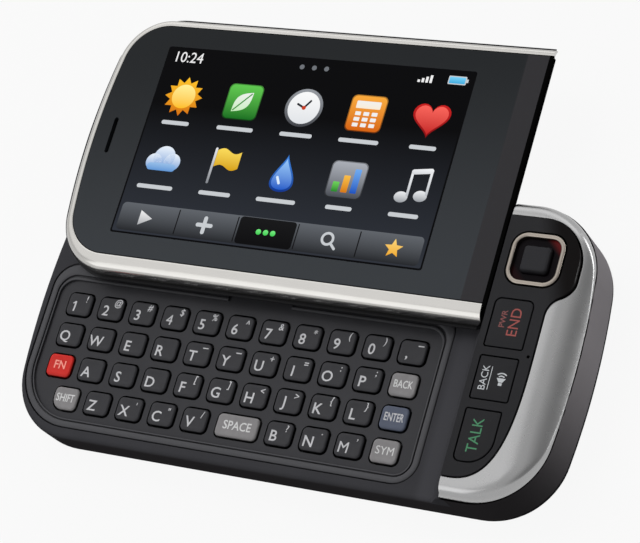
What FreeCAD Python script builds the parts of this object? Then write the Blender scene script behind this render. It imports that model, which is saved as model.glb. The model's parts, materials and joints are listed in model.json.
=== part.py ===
import FreeCAD, Part
import math
import os

# Slider phone, landscape, lying on its back and drawn open. Millimetres, +Z up out of the screen.
# The origin is the middle of the base's flat back. +X runs along the phone to the end with the call keys,
# +Y is the way the screen half slides open. The base carries the keyboard and a raised end cap that
# stands as high as the screen half. The screen half runs along Y on two rods.

V = FreeCAD.Vector
os.makedirs("parts", exist_ok=True)

# ---------------------------------------------------------------- whole phone
CORNER_R = 13.5  # plan radius of the base's corners
END_BOW_R = 150.0  # plan radius of the two gently bowed ends
DECK_Z = 10.0  # keyboard deck above the table
FACE_Z = 16.8  # screen face and end panel above the table

# ---------------------------------------------------------------- base shells
BACK_R = 4.4  # round of the back into the sides
SKIN = 1.3  # rear shell wall
FRAME_WALL = 1.5  # deck frame side wall
SPLIT_Z = 4.0  # seam between rear shell and deck frame
SEAM = 0.1
LIP = 1.0  # rear shell lip that stands inside the deck frame
LIP_Z = 2.6  # where the lip grows out of the skin
DECK_T = 1.6  # deck plate beside the keyboard
DECK_EDGE_R = 1.0

# ---------------------------------------------------------------- keyboard
PANEL_LEFT = 1.5  # deck band between the phone's left end and the keyboard panel
PANEL_FRONT = 2.0  # deck band along the front
DECK_RIGHT = 3.99  # deck strip between the panel and the ramp
DECK_BACK = 20.7  # deck behind the panel, which carries the slide
COLUMNS = 11
ROWS = 4
PANEL_RADII = (12.0, 4.8, 4.0, 5.0)  # front left, front right, back right, back left
PANEL_GAP = 0.2
PANEL_T = 1.0  # panel floor thickness
PANEL_DROP = 0.7  # panel floor below the deck
BEAD_W = 1.55  # raised bead round the panel
BEAD_BACK_W = 3.1  # its wider back side, half under the screen half
BEAD_R = 0.35
WELL_BACK_R = 3.2
NOTCH_IN = 38.3  # step in the bead's back side, from the panel's left edge
NOTCH_L = 13.4
NOTCH_DEPTH = 1.7
LEDGE_W = 1.0  # ledge that carries a panel
LEDGE_T = 1.0
PITCH_X = 7.06
PITCH_Y = 6.23
KEYS_LEFT_IN = 7.1  # outer keys' centres from the panel's four edges
KEYS_RIGHT_IN = 7.3
KEYS_FRONT_IN = 5.71
KEYS_BACK_IN = 8.1
KEY_L = 5.95  # key openings
KEY_W = 5.05
SPACE_L = 9.3
SPACE_COLUMN = 5.77
KEY_R = 1.3
SHIFT_CUT_R = 2.6  # the shift key's rounder outer corner
KEY_GAP = 0.2
KEY_RISE = 0.65  # key top above the panel floor
KEY_CROWN_R = 0.45
FLANGE = 0.3  # key flange past its opening
FLANGE_T = 0.4
FLANGE_GAP = 0.15
KEY_TRAVEL = 0.35
STEM_W = 2.2
DOME_R = 1.9
DOME_H = 0.3
FILM_T = 0.12
SPARE = 0.05  # what a key's stem still misses its dome by at full travel

# ---------------------------------------------------------------- boards and battery
BOARD_Z = 5.8
BOARD_T = 0.8
BOARD_GAP = 0.15
CHIP_H = 1.1
CHIP_W = 10.0
CHIP_BACK_IN = 7.6  # chips from the phone's back side
CHIPS = {-21.0: 18.0, 12.0: 12.0}  # centre along X: length
BATTERY = (56.0, 34.0, 3.9)
BATTERY_IN = 21.9  # battery from the phone's left end
CELL_R = 0.5  # round of small boxed parts
COVER_L = 84.9  # battery cover from the phone's left end
COVER_W = 37.0
COVER_GAP = 0.15

# ---------------------------------------------------------------- raised end cap
END_GAP = 0.3  # between the end cap and the screen half's end
RAMP_TOP_Z = 15.4
RAMP_SLOPE = 0.65  # run over rise of the ramp and of the screen half's undercut end
SHOULDER_Z = 13.3  # top of the deck frame under the silver crescent
SHOULDER_R = 0.4
CAP_WALL = 0.9
PLATE_T = 1.2  # end panel and touch window
CRESCENT_SIDE_IN = 0.65  # crescent's rim inside the deck frame's long sides
CRESCENT_END_IN = 0.4  # and inside its end
CREST_IN = 7.05  # where the crescent starts to roll down, from the phone's end
CREST_LEAN = 4.0  # how steeply it starts, in degrees
CRESCENT_RIM = 0.3  # upright rim at its end
CRESCENT_ROLL_R = 2.6  # round of its long sides
CAP_SIDE_IN = 3.5  # end panel inside the phone's long sides
CAP_NOSE_IN = 3.15  # end panel beside the navigation key, from the phone's end
CAP_NOSE_R = 8.0
CAP_WAIST = 4.0  # how much narrower the panel is beside the end keys
STEP_Y = (13.5, 6.5)  # the S step in the panel's edge, from nose to waist
SWEEP_Y = -2.0  # start of the long front curve
SWEEP_PULL = (13.5, 7.6)  # how long the curve keeps its first and its last direction
SWEEP_END = 1.5  # end of the curve from the panel's left edge
CAP_GAP = 0.1
END_KEYS_IN = 1.2  # end keys from the panel's left edge
END_KEYS = {  # right edge from the panel's waist, front, back, corner radii as for the keyboard panel
    "end_key": (1.95, -0.5, 8.8, (0.5, 0.5, 1.3, 1.3)),
    "back_key": (2.05, -10.1, -1.9, (0.5, 0.5, 0.5, 0.5)),
    "talk_key": (2.55, -21.4, -11.6, (1.3, 4.5, 0.5, 0.5)),
}
END_KEY_GAP = 0.15
END_KEY_TRAVEL = 0.3
END_STEM_W = 2.0
NAV_LEFT = 1.4  # navigation ring from the panel's left edge
NAV_RIGHT = 2.85  # and from its nose
NAV_Y = 16.35
NAV_RING_L = 10.4
NAV_RING_W = 10.1
NAV_RING_R = 3.0
NAV_RING_T = 0.8
NAV_RING_RISE = 0.25
NAV_DROP = 0.7  # navigation key's skirt below the panel's face
NAV_RISE = 0.5  # its raised square above the face
NAV_FOOT = (5.6, 5.5, 0.9)  # raised square at its foot: along X, along Y, corner radius
NAV_TOP = (4.6, 4.3, 0.7)
MIC_IN = 0.7  # microphone from the panel's waist
MIC_Y = -1.3
MIC_R = 0.3
MIC_CAPSULE = (1.6, 1.2)  # radius, height

# ---------------------------------------------------------------- screen half
SLIDE_GAP = 0.35  # between deck and screen half
SLIDER_END_IN = 1.8  # screen half inside the phone's left end
SLIDER_SIDE_IN = 0.5  # and inside its long sides
SLIDER_CORNER_R = 11.8
SLIDER_BOW_R = 130.0
SLIDER_EDGE_R = 0.8
TRIM_Z = 13.3  # seam between the black shell and the bright trim
TRIM_IN = 0.15
TRIM_ROLL_R = 3.0  # round of the trim's long sides
FACE_SIDE_IN = 3.15  # touch window's edge inside the shell's long sides
FACE_LEFT_IN = 2.7
FACE_RIGHT_IN = 0.5
FACE_CORNER_R = 8.5
WINDOW_GAP = 0.05
WINDOW_LEDGE = 1.2
DISPLAY_LEFT_IN = 8.35  # display inside the touch window's left end
DISPLAY_RIGHT_IN = 11.35
DISPLAY_SIDE_IN = 2.95
DISPLAY_T = 1.9
EARPIECE = (4.0, 11.0, 1.6)
EARPIECE_IN = 3.7  # earpiece's middle from the touch window's left end
EAR_SLOT = (0.9, 7.5)

# ---------------------------------------------------------------- slide
RAIL_END_IN = (17.6, 10.3)  # slide rods from the screen half's left and right end
RAIL_R = 0.6
RAIL_OVER_DECK = 1.3
RUN_GAP = 0.05
BUSH_W = 3.6
BUSH_BACK = 1.6  # bushes behind the keyboard panel
BUSH_H = 2.1  # bush above the deck
SLOT_GAP = 0.4
SLIDE_PLATE_T = 0.4
POCKET_SIDE_IN = 2.1  # slide plate inside the screen half's long sides
PLATE_PAST = (5.5, 2.7)  # slide plate past the rods, left and right
LUG_L = (2.0, 1.2)  # front and back lugs, along the rods
POCKET_H = 2.05
POCKET_GAP = 0.1
END_STOP = 0.3
CARRIAGE_T = 0.8
CARRIAGE_EDGE = 1.0  # carriage plate beyond the bushes' far sides
CARRIAGE_END = 0.5  # carriage plate beyond the bushes' ends

# ---------------------------------------------------------------- back and side pieces
BACK_PARTS_IN = 13.9  # camera and loudspeaker from the phone's right end
CAMERA_Y = 11.0
CAMERA_R = 4.0
LENS_R = 2.0
CAMERA_SINK = 0.1
SPEAKER_Y = -9.0
SPEAKER_R = 6.5
SPEAKER_H = 2.6
GRILLE_PITCH = 2.2
GRILLE_SLOT = (9.0, 0.9)
SIDE_KEY_Z = 6.2
SIDE_KEY_H = 2.4
SIDE_KEY_OUT = 0.5
SIDE_KEY_R = 0.4
SIDE_KEY_TRAVEL = 0.3
SIDE_FLANGE_T = 0.5
SIDE_ROOM = 2.2  # notch behind the side keys
NOTCH_SIDE = 0.6  # and how far it runs past a key's ends
SIDE_KEYS = {"volume_rocker": (-24.0, 17.0), "camera_key": (16.0, 8.0)}  # centre along X, length
SWITCH_W = 3.0
SWITCH_H = 0.9
SCREW_IN = (11.9, 7.2)  # screws from the ends and from the long sides
SCREW_CORNER_IN = (6.7, 6.8)  # the front left one, outside the keys
SCREW_R = 0.6
SCREW_HEAD_R = 1.0
SCREW_HEAD_H = 0.7
CROSS_ARM = 0.7  # cross recess in the head: arm's reach, half its width
CROSS_HALF_W = 0.15
SCREW_SEAT = 1.2  # screw's seat above the skin
POST_R = 1.7
BOSS_R = 1.4
HOLE_GAP = 0.05

# ---------------------------------------------------------------- worked out
PAST = 1.0  # how far a cutting solid runs past what it cuts
PANEL_L = KEYS_LEFT_IN + (COLUMNS - 1) * PITCH_X + KEYS_RIGHT_IN
PANEL_W = KEYS_FRONT_IN + (ROWS - 1) * PITCH_Y + KEYS_BACK_IN
RAMP_L = RAMP_SLOPE * (RAMP_TOP_Z - DECK_Z)
CAP_L = NAV_LEFT + NAV_RING_L + NAV_RIGHT + CAP_NOSE_IN
LENGTH = PANEL_LEFT + PANEL_L + DECK_RIGHT + RAMP_L + CAP_L
WIDTH = PANEL_FRONT + PANEL_W + DECK_BACK
HALF_L = LENGTH / 2
HALF_W = WIDTH / 2
PANEL_X0 = -HALF_L + PANEL_LEFT
PANEL_Y0 = -HALF_W + PANEL_FRONT
CAP_X = HALF_L - CAP_L  # left edge of the end panel
CAP_HALF_W = HALF_W - CAP_SIDE_IN
CAP_NOSE_X = HALF_L - CAP_NOSE_IN
CAP_WAIST_X = CAP_NOSE_X - CAP_WAIST
CREST_X = HALF_L - CREST_IN
END_KEYS_X0 = CAP_X + END_KEYS_IN
NAV_X = CAP_X + NAV_LEFT + NAV_RING_L / 2
MIC_X = CAP_WAIST_X - MIC_IN
BATTERY_X = -HALF_L + BATTERY_IN + BATTERY[0] / 2
COVER_X1 = -HALF_L + COVER_L
BACK_PARTS_X = HALF_L - BACK_PARTS_IN
SLIDER_Z = DECK_Z + SLIDE_GAP
SLIDER_LEFT = -HALF_L + SLIDER_END_IN
SLIDER_RIGHT = CAP_X - END_GAP
SLIDER_W = WIDTH - 2 * SLIDER_SIDE_IN
WINDOW_LEFT = SLIDER_LEFT + FACE_LEFT_IN
EARPIECE_X = WINDOW_LEFT + EARPIECE_IN
RAIL_X = (SLIDER_LEFT + RAIL_END_IN[0], SLIDER_RIGHT - RAIL_END_IN[1])
POCKET_X = (RAIL_X[0] - PLATE_PAST[0], RAIL_X[1] + PLATE_PAST[1])
POCKET_HALF_W = SLIDER_W / 2 - POCKET_SIDE_IN
BUSH_Y = PANEL_Y0 + PANEL_W + BUSH_BACK
BUSH_L = POCKET_HALF_W - LUG_L[1] - END_STOP - BUSH_Y
TRAVEL = 2 * POCKET_HALF_W - sum(LUG_L) - BUSH_L - 2 * END_STOP  # how far the screen half slides
FLOOR_Z = DECK_Z - PANEL_DROP
PANEL_Z = FLOOR_Z - PANEL_T
FILM_Z = BOARD_Z + BOARD_T
END_BOARD_Z = DECK_Z
PLATE_Z = FACE_Z - PLATE_T
INNER_X = CAP_X + CAP_WALL  # inside of the ramp's wall
RAMP_FOOT_X = CAP_X - RAMP_L
RAIL_Z = DECK_Z + RAIL_OVER_DECK
POCKET_Z = SLIDER_Z + POCKET_H


# ---------------------------------------------------------------- outlines
def arc_points(cx, cy, r, a0, a1):
    """Start, middle and end of an arc about (cx, cy), angles in degrees."""
    angles = [math.radians(a) for a in (a0, (a0 + a1) / 2, a1)]
    return [V(cx + r * math.cos(a), cy + r * math.sin(a), 0) for a in angles]


def closed_wire(arcs, z):
    """A closed outline: the given arcs, each three points, joined by straight lines."""
    edges = []
    for k, (start, middle, end) in enumerate(arcs):
        edges.append(Part.Arc(start, middle, end).toShape())
        follow = arcs[(k + 1) % len(arcs)][0]
        if end.distanceToPoint(follow) > 1e-6:
            edges.append(Part.LineSegment(end, follow).toShape())
    wire = Part.Wire(edges)
    wire.translate(V(0, 0, z))
    return wire


def bowed(left, right, half_w, r, bow_r, inset, z):
    """Phone outline: straight long sides, round corners, both ends arcs of radius bow_r."""
    reach = math.sqrt((bow_r - r) ** 2 - (half_w - r) ** 2)
    lean = math.degrees(math.asin((half_w - r) / (bow_r - r)))
    arcs = []
    for end_x, side, turn in ((right, 1, 0), (left, -1, 180)):
        bow_x = end_x - side * bow_r
        corner_x = bow_x + side * reach
        corner_y = half_w - r
        arcs.append(arc_points(corner_x, -side * corner_y, r - inset, turn - 90, turn - lean))
        arcs.append(arc_points(bow_x, 0, bow_r - inset, turn - lean, turn + lean))
        arcs.append(arc_points(corner_x, side * corner_y, r - inset, turn + lean, turn + 90))
    return closed_wire(arcs, z)


def base_outline(inset, z):
    return bowed(-HALF_L, HALF_L, HALF_W, CORNER_R, END_BOW_R, inset, z)


def crescent_outline(z):
    """Rim of the silver crescent, drawn as a whole base outline."""
    reach = HALF_L - CRESCENT_END_IN
    return bowed(-reach, reach, HALF_W - CRESCENT_SIDE_IN, CORNER_R - CRESCENT_SIDE_IN, END_BOW_R, 0, z)


def slider_outline(inset, z):
    """Screen half, drawn on past its right end, where it is cut square afterwards."""
    return bowed(SLIDER_LEFT, HALF_L + WIDTH, SLIDER_W / 2, SLIDER_CORNER_R, SLIDER_BOW_R, inset, z)


def rounded(x0, x1, y0, y1, radii, z=0.0, grow=0.0):
    """Rectangle with its own radius at front left, front right, back right, back left."""
    ends = ((x0, y0, 1, 1, 180), (x1, y0, -1, 1, 270), (x1, y1, -1, -1, 0), (x0, y1, 1, -1, 90))
    arcs = []
    for (x, y, sx, sy, start), r in zip(ends, radii):
        arcs.append(arc_points(x + sx * r, y + sy * r, r + grow, start, start + 90))
    return closed_wire(arcs, z)


def panel_outline(grow, z):
    return rounded(PANEL_X0, PANEL_X0 + PANEL_L, PANEL_Y0, PANEL_Y0 + PANEL_W, PANEL_RADII, z, grow)


def cap_outline(grow, z):
    """End panel: straight left edge, round nose beside the navigation key, S step, long front curve.

    The S step is two equal arcs between the nose's and the waist's upright lines."""
    run, drop = CAP_NOSE_X - CAP_WAIST_X, STEP_Y[0] - STEP_Y[1]
    turn = 2 * math.degrees(math.atan2(run, drop))
    step_r = drop / 2 / math.sin(math.radians(turn))
    nose = arc_points(CAP_NOSE_X - CAP_NOSE_R, CAP_HALF_W - CAP_NOSE_R, CAP_NOSE_R + grow, 90, 0)
    down = arc_points(CAP_NOSE_X - step_r, STEP_Y[0], step_r + grow, 0, -turn)
    up = arc_points(CAP_WAIST_X + step_r, STEP_Y[1], step_r - grow, 180 - turn, 180)
    start = V(CAP_WAIST_X + grow, SWEEP_Y, 0)
    end = V(CAP_X + SWEEP_END, -CAP_HALF_W - grow, 0)
    sweep = Part.BezierCurve()
    sweep.setPoles([start, start - V(0, SWEEP_PULL[0], 0), end + V(SWEEP_PULL[1], 0, 0), end])
    front, back = V(CAP_X - grow, end.y, 0), V(CAP_X - grow, nose[0].y, 0)
    edges = [
        Part.LineSegment(end, front),
        Part.LineSegment(front, back),
        Part.LineSegment(back, nose[0]),
        Part.Arc(*nose),
        Part.LineSegment(nose[2], down[0]),
        Part.Arc(*down),
        Part.Arc(*up),
        Part.LineSegment(up[2], start),
        sweep,
    ]
    wire = Part.Wire([edge.toShape() for edge in edges])
    wire.translate(V(0, 0, z))
    return wire


# ---------------------------------------------------------------- solids
def prism(wire, z1):
    """Upright solid from a flat outline up to the height z1."""
    return Part.Face(wire).extrude(V(0, 0, z1 - wire.BoundBox.ZMin))


def box(x0, x1, y0, y1, z0, z1):
    return Part.makeBox(x1 - x0, y1 - y0, z1 - z0, V(x0, y0, z0))


def right_of(x, z0, z1):
    """Everything of the phone past an upright plane across it."""
    return box(x, LENGTH, -WIDTH, WIDTH, z0, z1)


def rod(x, y, z0, z1, r):
    return Part.makeCylinder(r, z1 - z0, V(x, y, z0))


def rod_along(x, y0, y1, z, r):
    return Part.makeCylinder(r, y1 - y0, V(x, y0, z), V(0, 1, 0))


def side_profile(points, half_w):
    """Solid from an outline given in X and Z, as wide as the phone needs it."""
    corners = [V(x, -half_w, z) for x, z in points]
    return Part.Face(Part.makePolygon(corners + corners[:1])).extrude(V(0, 2 * half_w, 0))


def is_level(edge, z):
    return abs(edge.BoundBox.ZMin - z) < 1e-4 and edge.BoundBox.ZLength < 1e-4


def rounded_off(shape, r, z):
    """The solid with every edge that lies level at this height rounded."""
    return shape.makeFillet(r, [edge for edge in shape.Edges if is_level(edge, z)])


def hull(inset, z0, z1):
    """The base's outer form, or its inside when inset: a prism whose back curves into the sides."""
    return rounded_off(prism(base_outline(inset, z0), z1), BACK_R - inset, z0)


def fuse(*shapes):
    """One solid from several, with the seams between their faces taken out."""
    return shapes[0].fuse(list(shapes[1:])).removeSplitter()


def save(name, shape):
    solids = shape.Solids
    shape = solids[0] if len(solids) == 1 else Part.makeCompound(solids)
    print(name, len(solids), round(shape.Volume, 1), shape.isValid())
    shape.exportStep("parts/%s.step" % name)


# ---------------------------------------------------------------- key layout
def column(c):
    return PANEL_X0 + KEYS_LEFT_IN + c * PITCH_X


def row(r):
    return PANEL_Y0 + KEYS_FRONT_IN + (ROWS - 1 - r) * PITCH_Y


NUMBER_KEYS = [(column(c), row(0), KEY_L) for c in range(COLUMNS)]
KEYS = {}  # centre along X and Y, length of the opening
for r, first, letters in ((1, 0, "qwertyuiop"), (2, 1, "asdfghjkl"), (3, 1.5, "zxcv"), (3, 7, "bnm")):
    for k, letter in enumerate(letters):
        KEYS["key_" + letter] = (column(first + k), row(r), KEY_L)
KEYS["key_erase"] = (column(COLUMNS - 1), row(1), KEY_L)
KEYS["key_fn"] = (column(0), row(2), KEY_L)
KEYS["key_enter"] = (column(COLUMNS - 1), row(2), KEY_L)
KEYS["key_shift"] = (column(0.5), row(3), KEY_L)
KEYS["key_space"] = (column(SPACE_COLUMN), row(3), SPACE_L)
KEYS["key_sym"] = (column(COLUMNS - 1), row(3), KEY_L)
ALL_KEYS = NUMBER_KEYS + list(KEYS.values())


def key_outline(place, grow, z):
    x, y, length = place
    outer_r = SHIFT_CUT_R if place == KEYS["key_shift"] else KEY_R
    radii = (outer_r, KEY_R, KEY_R, KEY_R)
    return rounded(x - length / 2, x + length / 2, y - KEY_W / 2, y + KEY_W / 2, radii, z, grow)


def stem(x, y, width, z0, z1):
    return box(x - width / 2, x + width / 2, y - width / 2, y + width / 2, z0, z1)


def key_solid(place):
    """Cap that stands in its opening, flange that keeps it in, and stem down to the dome."""
    flange_top = PANEL_Z - FLANGE_GAP
    stem_z = FILM_Z + FILM_T + DOME_H + KEY_TRAVEL + SPARE
    top = FLOOR_Z + KEY_RISE
    cap = rounded_off(prism(key_outline(place, -KEY_GAP, flange_top), top), KEY_CROWN_R, top)
    flange = prism(key_outline(place, FLANGE, flange_top - FLANGE_T), flange_top)
    return fuse(cap, flange, stem(place[0], place[1], STEM_W, stem_z, flange_top))


# ---------------------------------------------------------------- screws and side keys
def screw_places():
    end_in, side_in = SCREW_IN
    places = [(sx * (HALF_L - end_in), sy * (HALF_W - side_in)) for sx, sy in ((-1, 1), (1, -1), (1, 1))]
    return places + [(SCREW_CORNER_IN[0] - HALF_L, SCREW_CORNER_IN[1] - HALF_W)]


def screw_holes(gap, z0, z1):
    return [rod(x, y, z0, z1, SCREW_R + gap) for x, y in screw_places()]


def side_key_body(x, length, grow, y0, y1):
    z0 = SIDE_KEY_Z - SIDE_KEY_H / 2 - grow
    z1 = SIDE_KEY_Z + SIDE_KEY_H / 2 + grow
    return box(x - length / 2 - grow, x + length / 2 + grow, y0, y1, z0, z1)


def side_notches():
    """Room behind the side keys, cut from whatever reaches the wall there."""
    y1 = HALF_W - FRAME_WALL
    notches = []
    for x, length in SIDE_KEYS.values():
        half = length / 2 + NOTCH_SIDE
        notches.append(box(x - half, x + half, y1 - SIDE_ROOM, y1, SPLIT_Z, DECK_Z - DECK_T))
    return notches


def make_side_key(x, length):
    wall_in = HALF_W - FRAME_WALL - SEAM
    out = HALF_W + SIDE_KEY_OUT
    face = side_key_body(x, length, 0, wall_in, out)
    edges = [e for e in face.Edges if abs(e.BoundBox.YMin - out) < 1e-4 and e.BoundBox.YLength < 1e-4]
    flange = side_key_body(x, length, FLANGE, wall_in - SIDE_FLANGE_T, wall_in)
    return fuse(face.makeFillet(SIDE_KEY_R, edges), flange)


# ---------------------------------------------------------------- base shells
def back_skin():
    """The skin of the back up to the seam, before the battery cover is parted from it."""
    skin = hull(0, 0, FACE_Z).cut(hull(SKIN, SKIN, FACE_Z))
    return skin.cut(box(-LENGTH, LENGTH, -WIDTH, WIDTH, SPLIT_Z, FACE_Z + PAST))


def cover_region(grow, z0):
    """The part of the back that the battery cover takes up, open past the left end."""
    half = COVER_W / 2 + grow
    return box(-LENGTH, COVER_X1 + grow, -half, half, z0, SPLIT_Z + grow)


def make_rear_shell():
    lip_in = FRAME_WALL + SEAM
    lip = prism(base_outline(lip_in, LIP_Z), BOARD_Z).cut(prism(base_outline(lip_in + LIP, 0), FACE_Z))
    posts = [rod(x, y, 0, BOARD_Z, POST_R) for x, y in screw_places()]
    inside = hull(SKIN / 2, SKIN / 2, FACE_Z)
    parts = [solid.common(inside) for solid in [lip] + posts]
    shell = fuse(back_skin(), *parts)
    grille = []
    for k in (-1, 0, 1):
        y = SPEAKER_Y + k * GRILLE_PITCH
        x0, half_w = BACK_PARTS_X - GRILLE_SLOT[0] / 2, GRILLE_SLOT[1] / 2
        grille.append(box(x0, x0 + GRILLE_SLOT[0], y - half_w, y + half_w, -PAST, SKIN + PAST))
    lens = rod(BACK_PARTS_X, CAMERA_Y, -PAST, SKIN + PAST, CAMERA_R + SEAM)
    seat = SKIN + SCREW_SEAT
    heads = [rod(x, y, -PAST, seat, SCREW_HEAD_R + SEAM) for x, y in screw_places()]
    holes = screw_holes(HOLE_GAP, 0, BOARD_Z + PAST)
    return shell.cut([cover_region(COVER_GAP, -PAST), lens] + grille + heads + holes + side_notches())


def make_battery_cover():
    return back_skin().common(cover_region(0, -PAST))


def ramp_profile(x1, z0, z1, half_w):
    """Solid from the ramp to x1 and from z0 to z1: upright under the deck and over the ramp's top."""
    ramp = [(RAMP_FOOT_X, z0), (RAMP_FOOT_X, DECK_Z), (CAP_X, RAMP_TOP_Z), (CAP_X, z1)]
    return side_profile(ramp + [(x1, z1), (x1, z0)], half_w)


def end_block():
    """Raised end: the base's outline up to the shoulder, and a wall behind the ramp up to the panel."""
    tall = rounded_off(hull(0, 0, SHOULDER_Z), SHOULDER_R, SHOULDER_Z)
    wall = ramp_profile(INNER_X, DECK_Z - DECK_T, PLATE_Z, CAP_HALF_W - CAP_GAP)
    return fuse(tall.common(ramp_profile(LENGTH, -PAST, FACE_Z, WIDTH)), wall)


def panel_ledge():
    """L-shaped ledge round the keyboard opening that the panel rests on."""
    ledge = prism(panel_outline(LEDGE_W, PANEL_Z - LEDGE_T), DECK_Z - DECK_T + SEAM)
    ledge = ledge.cut(prism(panel_outline(-LEDGE_W, 0), DECK_Z))
    return ledge.common(prism(base_outline(FRAME_WALL / 2, 0), DECK_Z))


def carriage_box(grow, z0, z1):
    """Carriage plate between z0 and z1."""
    x0 = RAIL_X[0] - BUSH_W / 2 - CARRIAGE_EDGE - grow
    x1 = RAIL_X[1] + BUSH_W / 2 + CARRIAGE_EDGE + grow
    return box(x0, x1, BUSH_Y - CARRIAGE_END - grow, BUSH_Y + BUSH_L + CARRIAGE_END + grow, z0, z1)


def make_deck_frame():
    low = rounded_off(hull(0, 0, DECK_Z), DECK_EDGE_R, DECK_Z)
    low = low.cut(right_of(RAMP_FOOT_X, -PAST, FACE_Z))
    frame = fuse(low, end_block())
    frame = frame.cut([
        box(-LENGTH, LENGTH, -WIDTH, WIDTH, -PAST, SPLIT_Z + SEAM),
        prism(base_outline(FRAME_WALL, 0), DECK_Z - DECK_T),
        prism(base_outline(FRAME_WALL, DECK_Z), SHOULDER_Z - CAP_WALL).common(right_of(INNER_X, 0, FACE_Z)),
        prism(cap_outline(-LEDGE_W, DECK_Z), FACE_Z).common(right_of(INNER_X, 0, FACE_Z)),
    ])
    bosses = [rod(x, y, FILM_Z, DECK_Z - SPARE, BOSS_R) for x, y in screw_places()]
    frame = fuse(frame, panel_ledge(), *bosses)
    windows = []
    for x, length in SIDE_KEYS.values():
        windows.append(side_key_body(x, length, SEAM + SPARE, HALF_W - FRAME_WALL - PAST, HALF_W + PAST))
    opening = prism(panel_outline(0, PANEL_Z), DECK_Z + PAST)
    seat = carriage_box(SEAM, DECK_Z - CARRIAGE_T, DECK_Z + PAST)
    return frame.cut([opening, seat] + windows + screw_holes(HOLE_GAP, 0, screw_end() + SEAM))


def screw_end():
    return PANEL_Z - LEDGE_T + SCREW_R


def make_keyboard_bezel():
    """Panel with a raised bead round its edge and one opening per key."""
    plate = rounded_off(prism(panel_outline(-PANEL_GAP, PANEL_Z), DECK_Z), BEAD_R, DECK_Z)
    side_in = PANEL_GAP + BEAD_W
    back = PANEL_Y0 + PANEL_W - PANEL_GAP - BEAD_BACK_W
    radii = (PANEL_RADII[0] - side_in, PANEL_RADII[1] - side_in, WELL_BACK_R, WELL_BACK_R)
    well = rounded(PANEL_X0 + side_in, PANEL_X0 + PANEL_L - side_in, PANEL_Y0 + side_in, back, radii, FLOOR_Z)
    notch_x = PANEL_X0 + NOTCH_IN
    notch = box(notch_x, notch_x + NOTCH_L, back - PAST, back + NOTCH_DEPTH, FLOOR_Z, DECK_Z + PAST)
    openings = [prism(key_outline(place, 0, 0), DECK_Z) for place in ALL_KEYS]
    return plate.cut([prism(well, DECK_Z + PAST), notch] + openings)


# ---------------------------------------------------------------- inside the base
def end_key_place(key):
    """Left, right, front and back edge of an end key's opening."""
    right_in, y0, y1, _ = key
    return END_KEYS_X0, CAP_WAIST_X - right_in, y0, y1


def end_key_centre(key):
    x0, x1, y0, y1 = end_key_place(key)
    return (x0 + x1) / 2, (y0 + y1) / 2


def end_key_prism(key, grow, z0, z1):
    return prism(rounded(*end_key_place(key), key[-1], z0, grow), z1)


def make_boards():
    """Main board on the rear shell's lip, and the small board on the deck under the end panel."""
    main = prism(base_outline(FRAME_WALL + BOARD_GAP, BOARD_Z), FILM_Z)
    main = main.cut(side_notches() + screw_holes(BOARD_GAP, 0, FACE_Z))
    chip_y = HALF_W - CHIP_BACK_IN
    chips = [box(x - length / 2, x + length / 2, chip_y - CHIP_W, chip_y, FILM_Z, FILM_Z + CHIP_H)
             for x, length in CHIPS.items()]
    press = HALF_W - FRAME_WALL - SEAM - SIDE_FLANGE_T - SIDE_KEY_TRAVEL - SPARE
    for x, _ in SIDE_KEYS.values():
        half = SWITCH_W / 2
        chips.append(box(x - half, x + half, press - SIDE_ROOM, press, FILM_Z, FILM_Z + SWITCH_H))
    end_top = END_BOARD_Z + BOARD_T
    end = prism(base_outline(FRAME_WALL + LIP, END_BOARD_Z), end_top)
    end = end.common(box(INNER_X + BOARD_GAP, LENGTH, -CAP_HALF_W, CAP_HALF_W, 0, FACE_Z))
    centres = [end_key_centre(key) for key in END_KEYS.values()] + [(NAV_X, NAV_Y)]
    domes = [dome(x, y, end_top) for x, y in centres]
    capsule = rod(MIC_X, MIC_Y, end_top, end_top + MIC_CAPSULE[1], MIC_CAPSULE[0])
    return Part.makeCompound([fuse(main, *chips), fuse(end, capsule, *domes)])


def dome(x, y, z):
    return Part.makeCone(DOME_R, DOME_R / 2, DOME_H, V(x, y, z))


def make_dome_sheet():
    """Film over the main board with one snap dome under each key."""
    xs = [place[0] for place in ALL_KEYS]
    ys = [place[1] for place in ALL_KEYS]
    edge = PITCH_Y / 2
    outline = rounded(min(xs) - edge, max(xs) + edge, min(ys) - edge, max(ys) + edge, (edge,) * 4, FILM_Z)
    film = prism(outline, FILM_Z + FILM_T)
    film = film.cut([rod(x, y, 0, FACE_Z, BOSS_R + BOARD_GAP) for x, y in screw_places()])
    return fuse(film, *[dome(place[0], place[1], FILM_Z + FILM_T) for place in ALL_KEYS])


def boxed(length, width, height, x, z):
    """Boxed part on the phone's long middle line, with its upright edges rounded."""
    block = box(x - length / 2, x + length / 2, -width / 2, width / 2, z, z + height)
    return block.makeFillet(CELL_R, [edge for edge in block.Edges if edge.BoundBox.ZLength > CELL_R])


def make_slide_carriage():
    """Plate let into the deck with two long bushes that the slide rods run through."""
    bushes = []
    for x in RAIL_X:
        half = BUSH_W / 2
        bushes.append(box(x - half, x + half, BUSH_Y, BUSH_Y + BUSH_L, DECK_Z - SPARE, DECK_Z + BUSH_H))
    carriage = fuse(carriage_box(0, DECK_Z - CARRIAGE_T, DECK_Z), *bushes)
    bores = [rod_along(x, BUSH_Y - PAST, BUSH_Y + BUSH_L + PAST, RAIL_Z, RAIL_R + RUN_GAP) for x in RAIL_X]
    return carriage.cut(bores)


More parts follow.
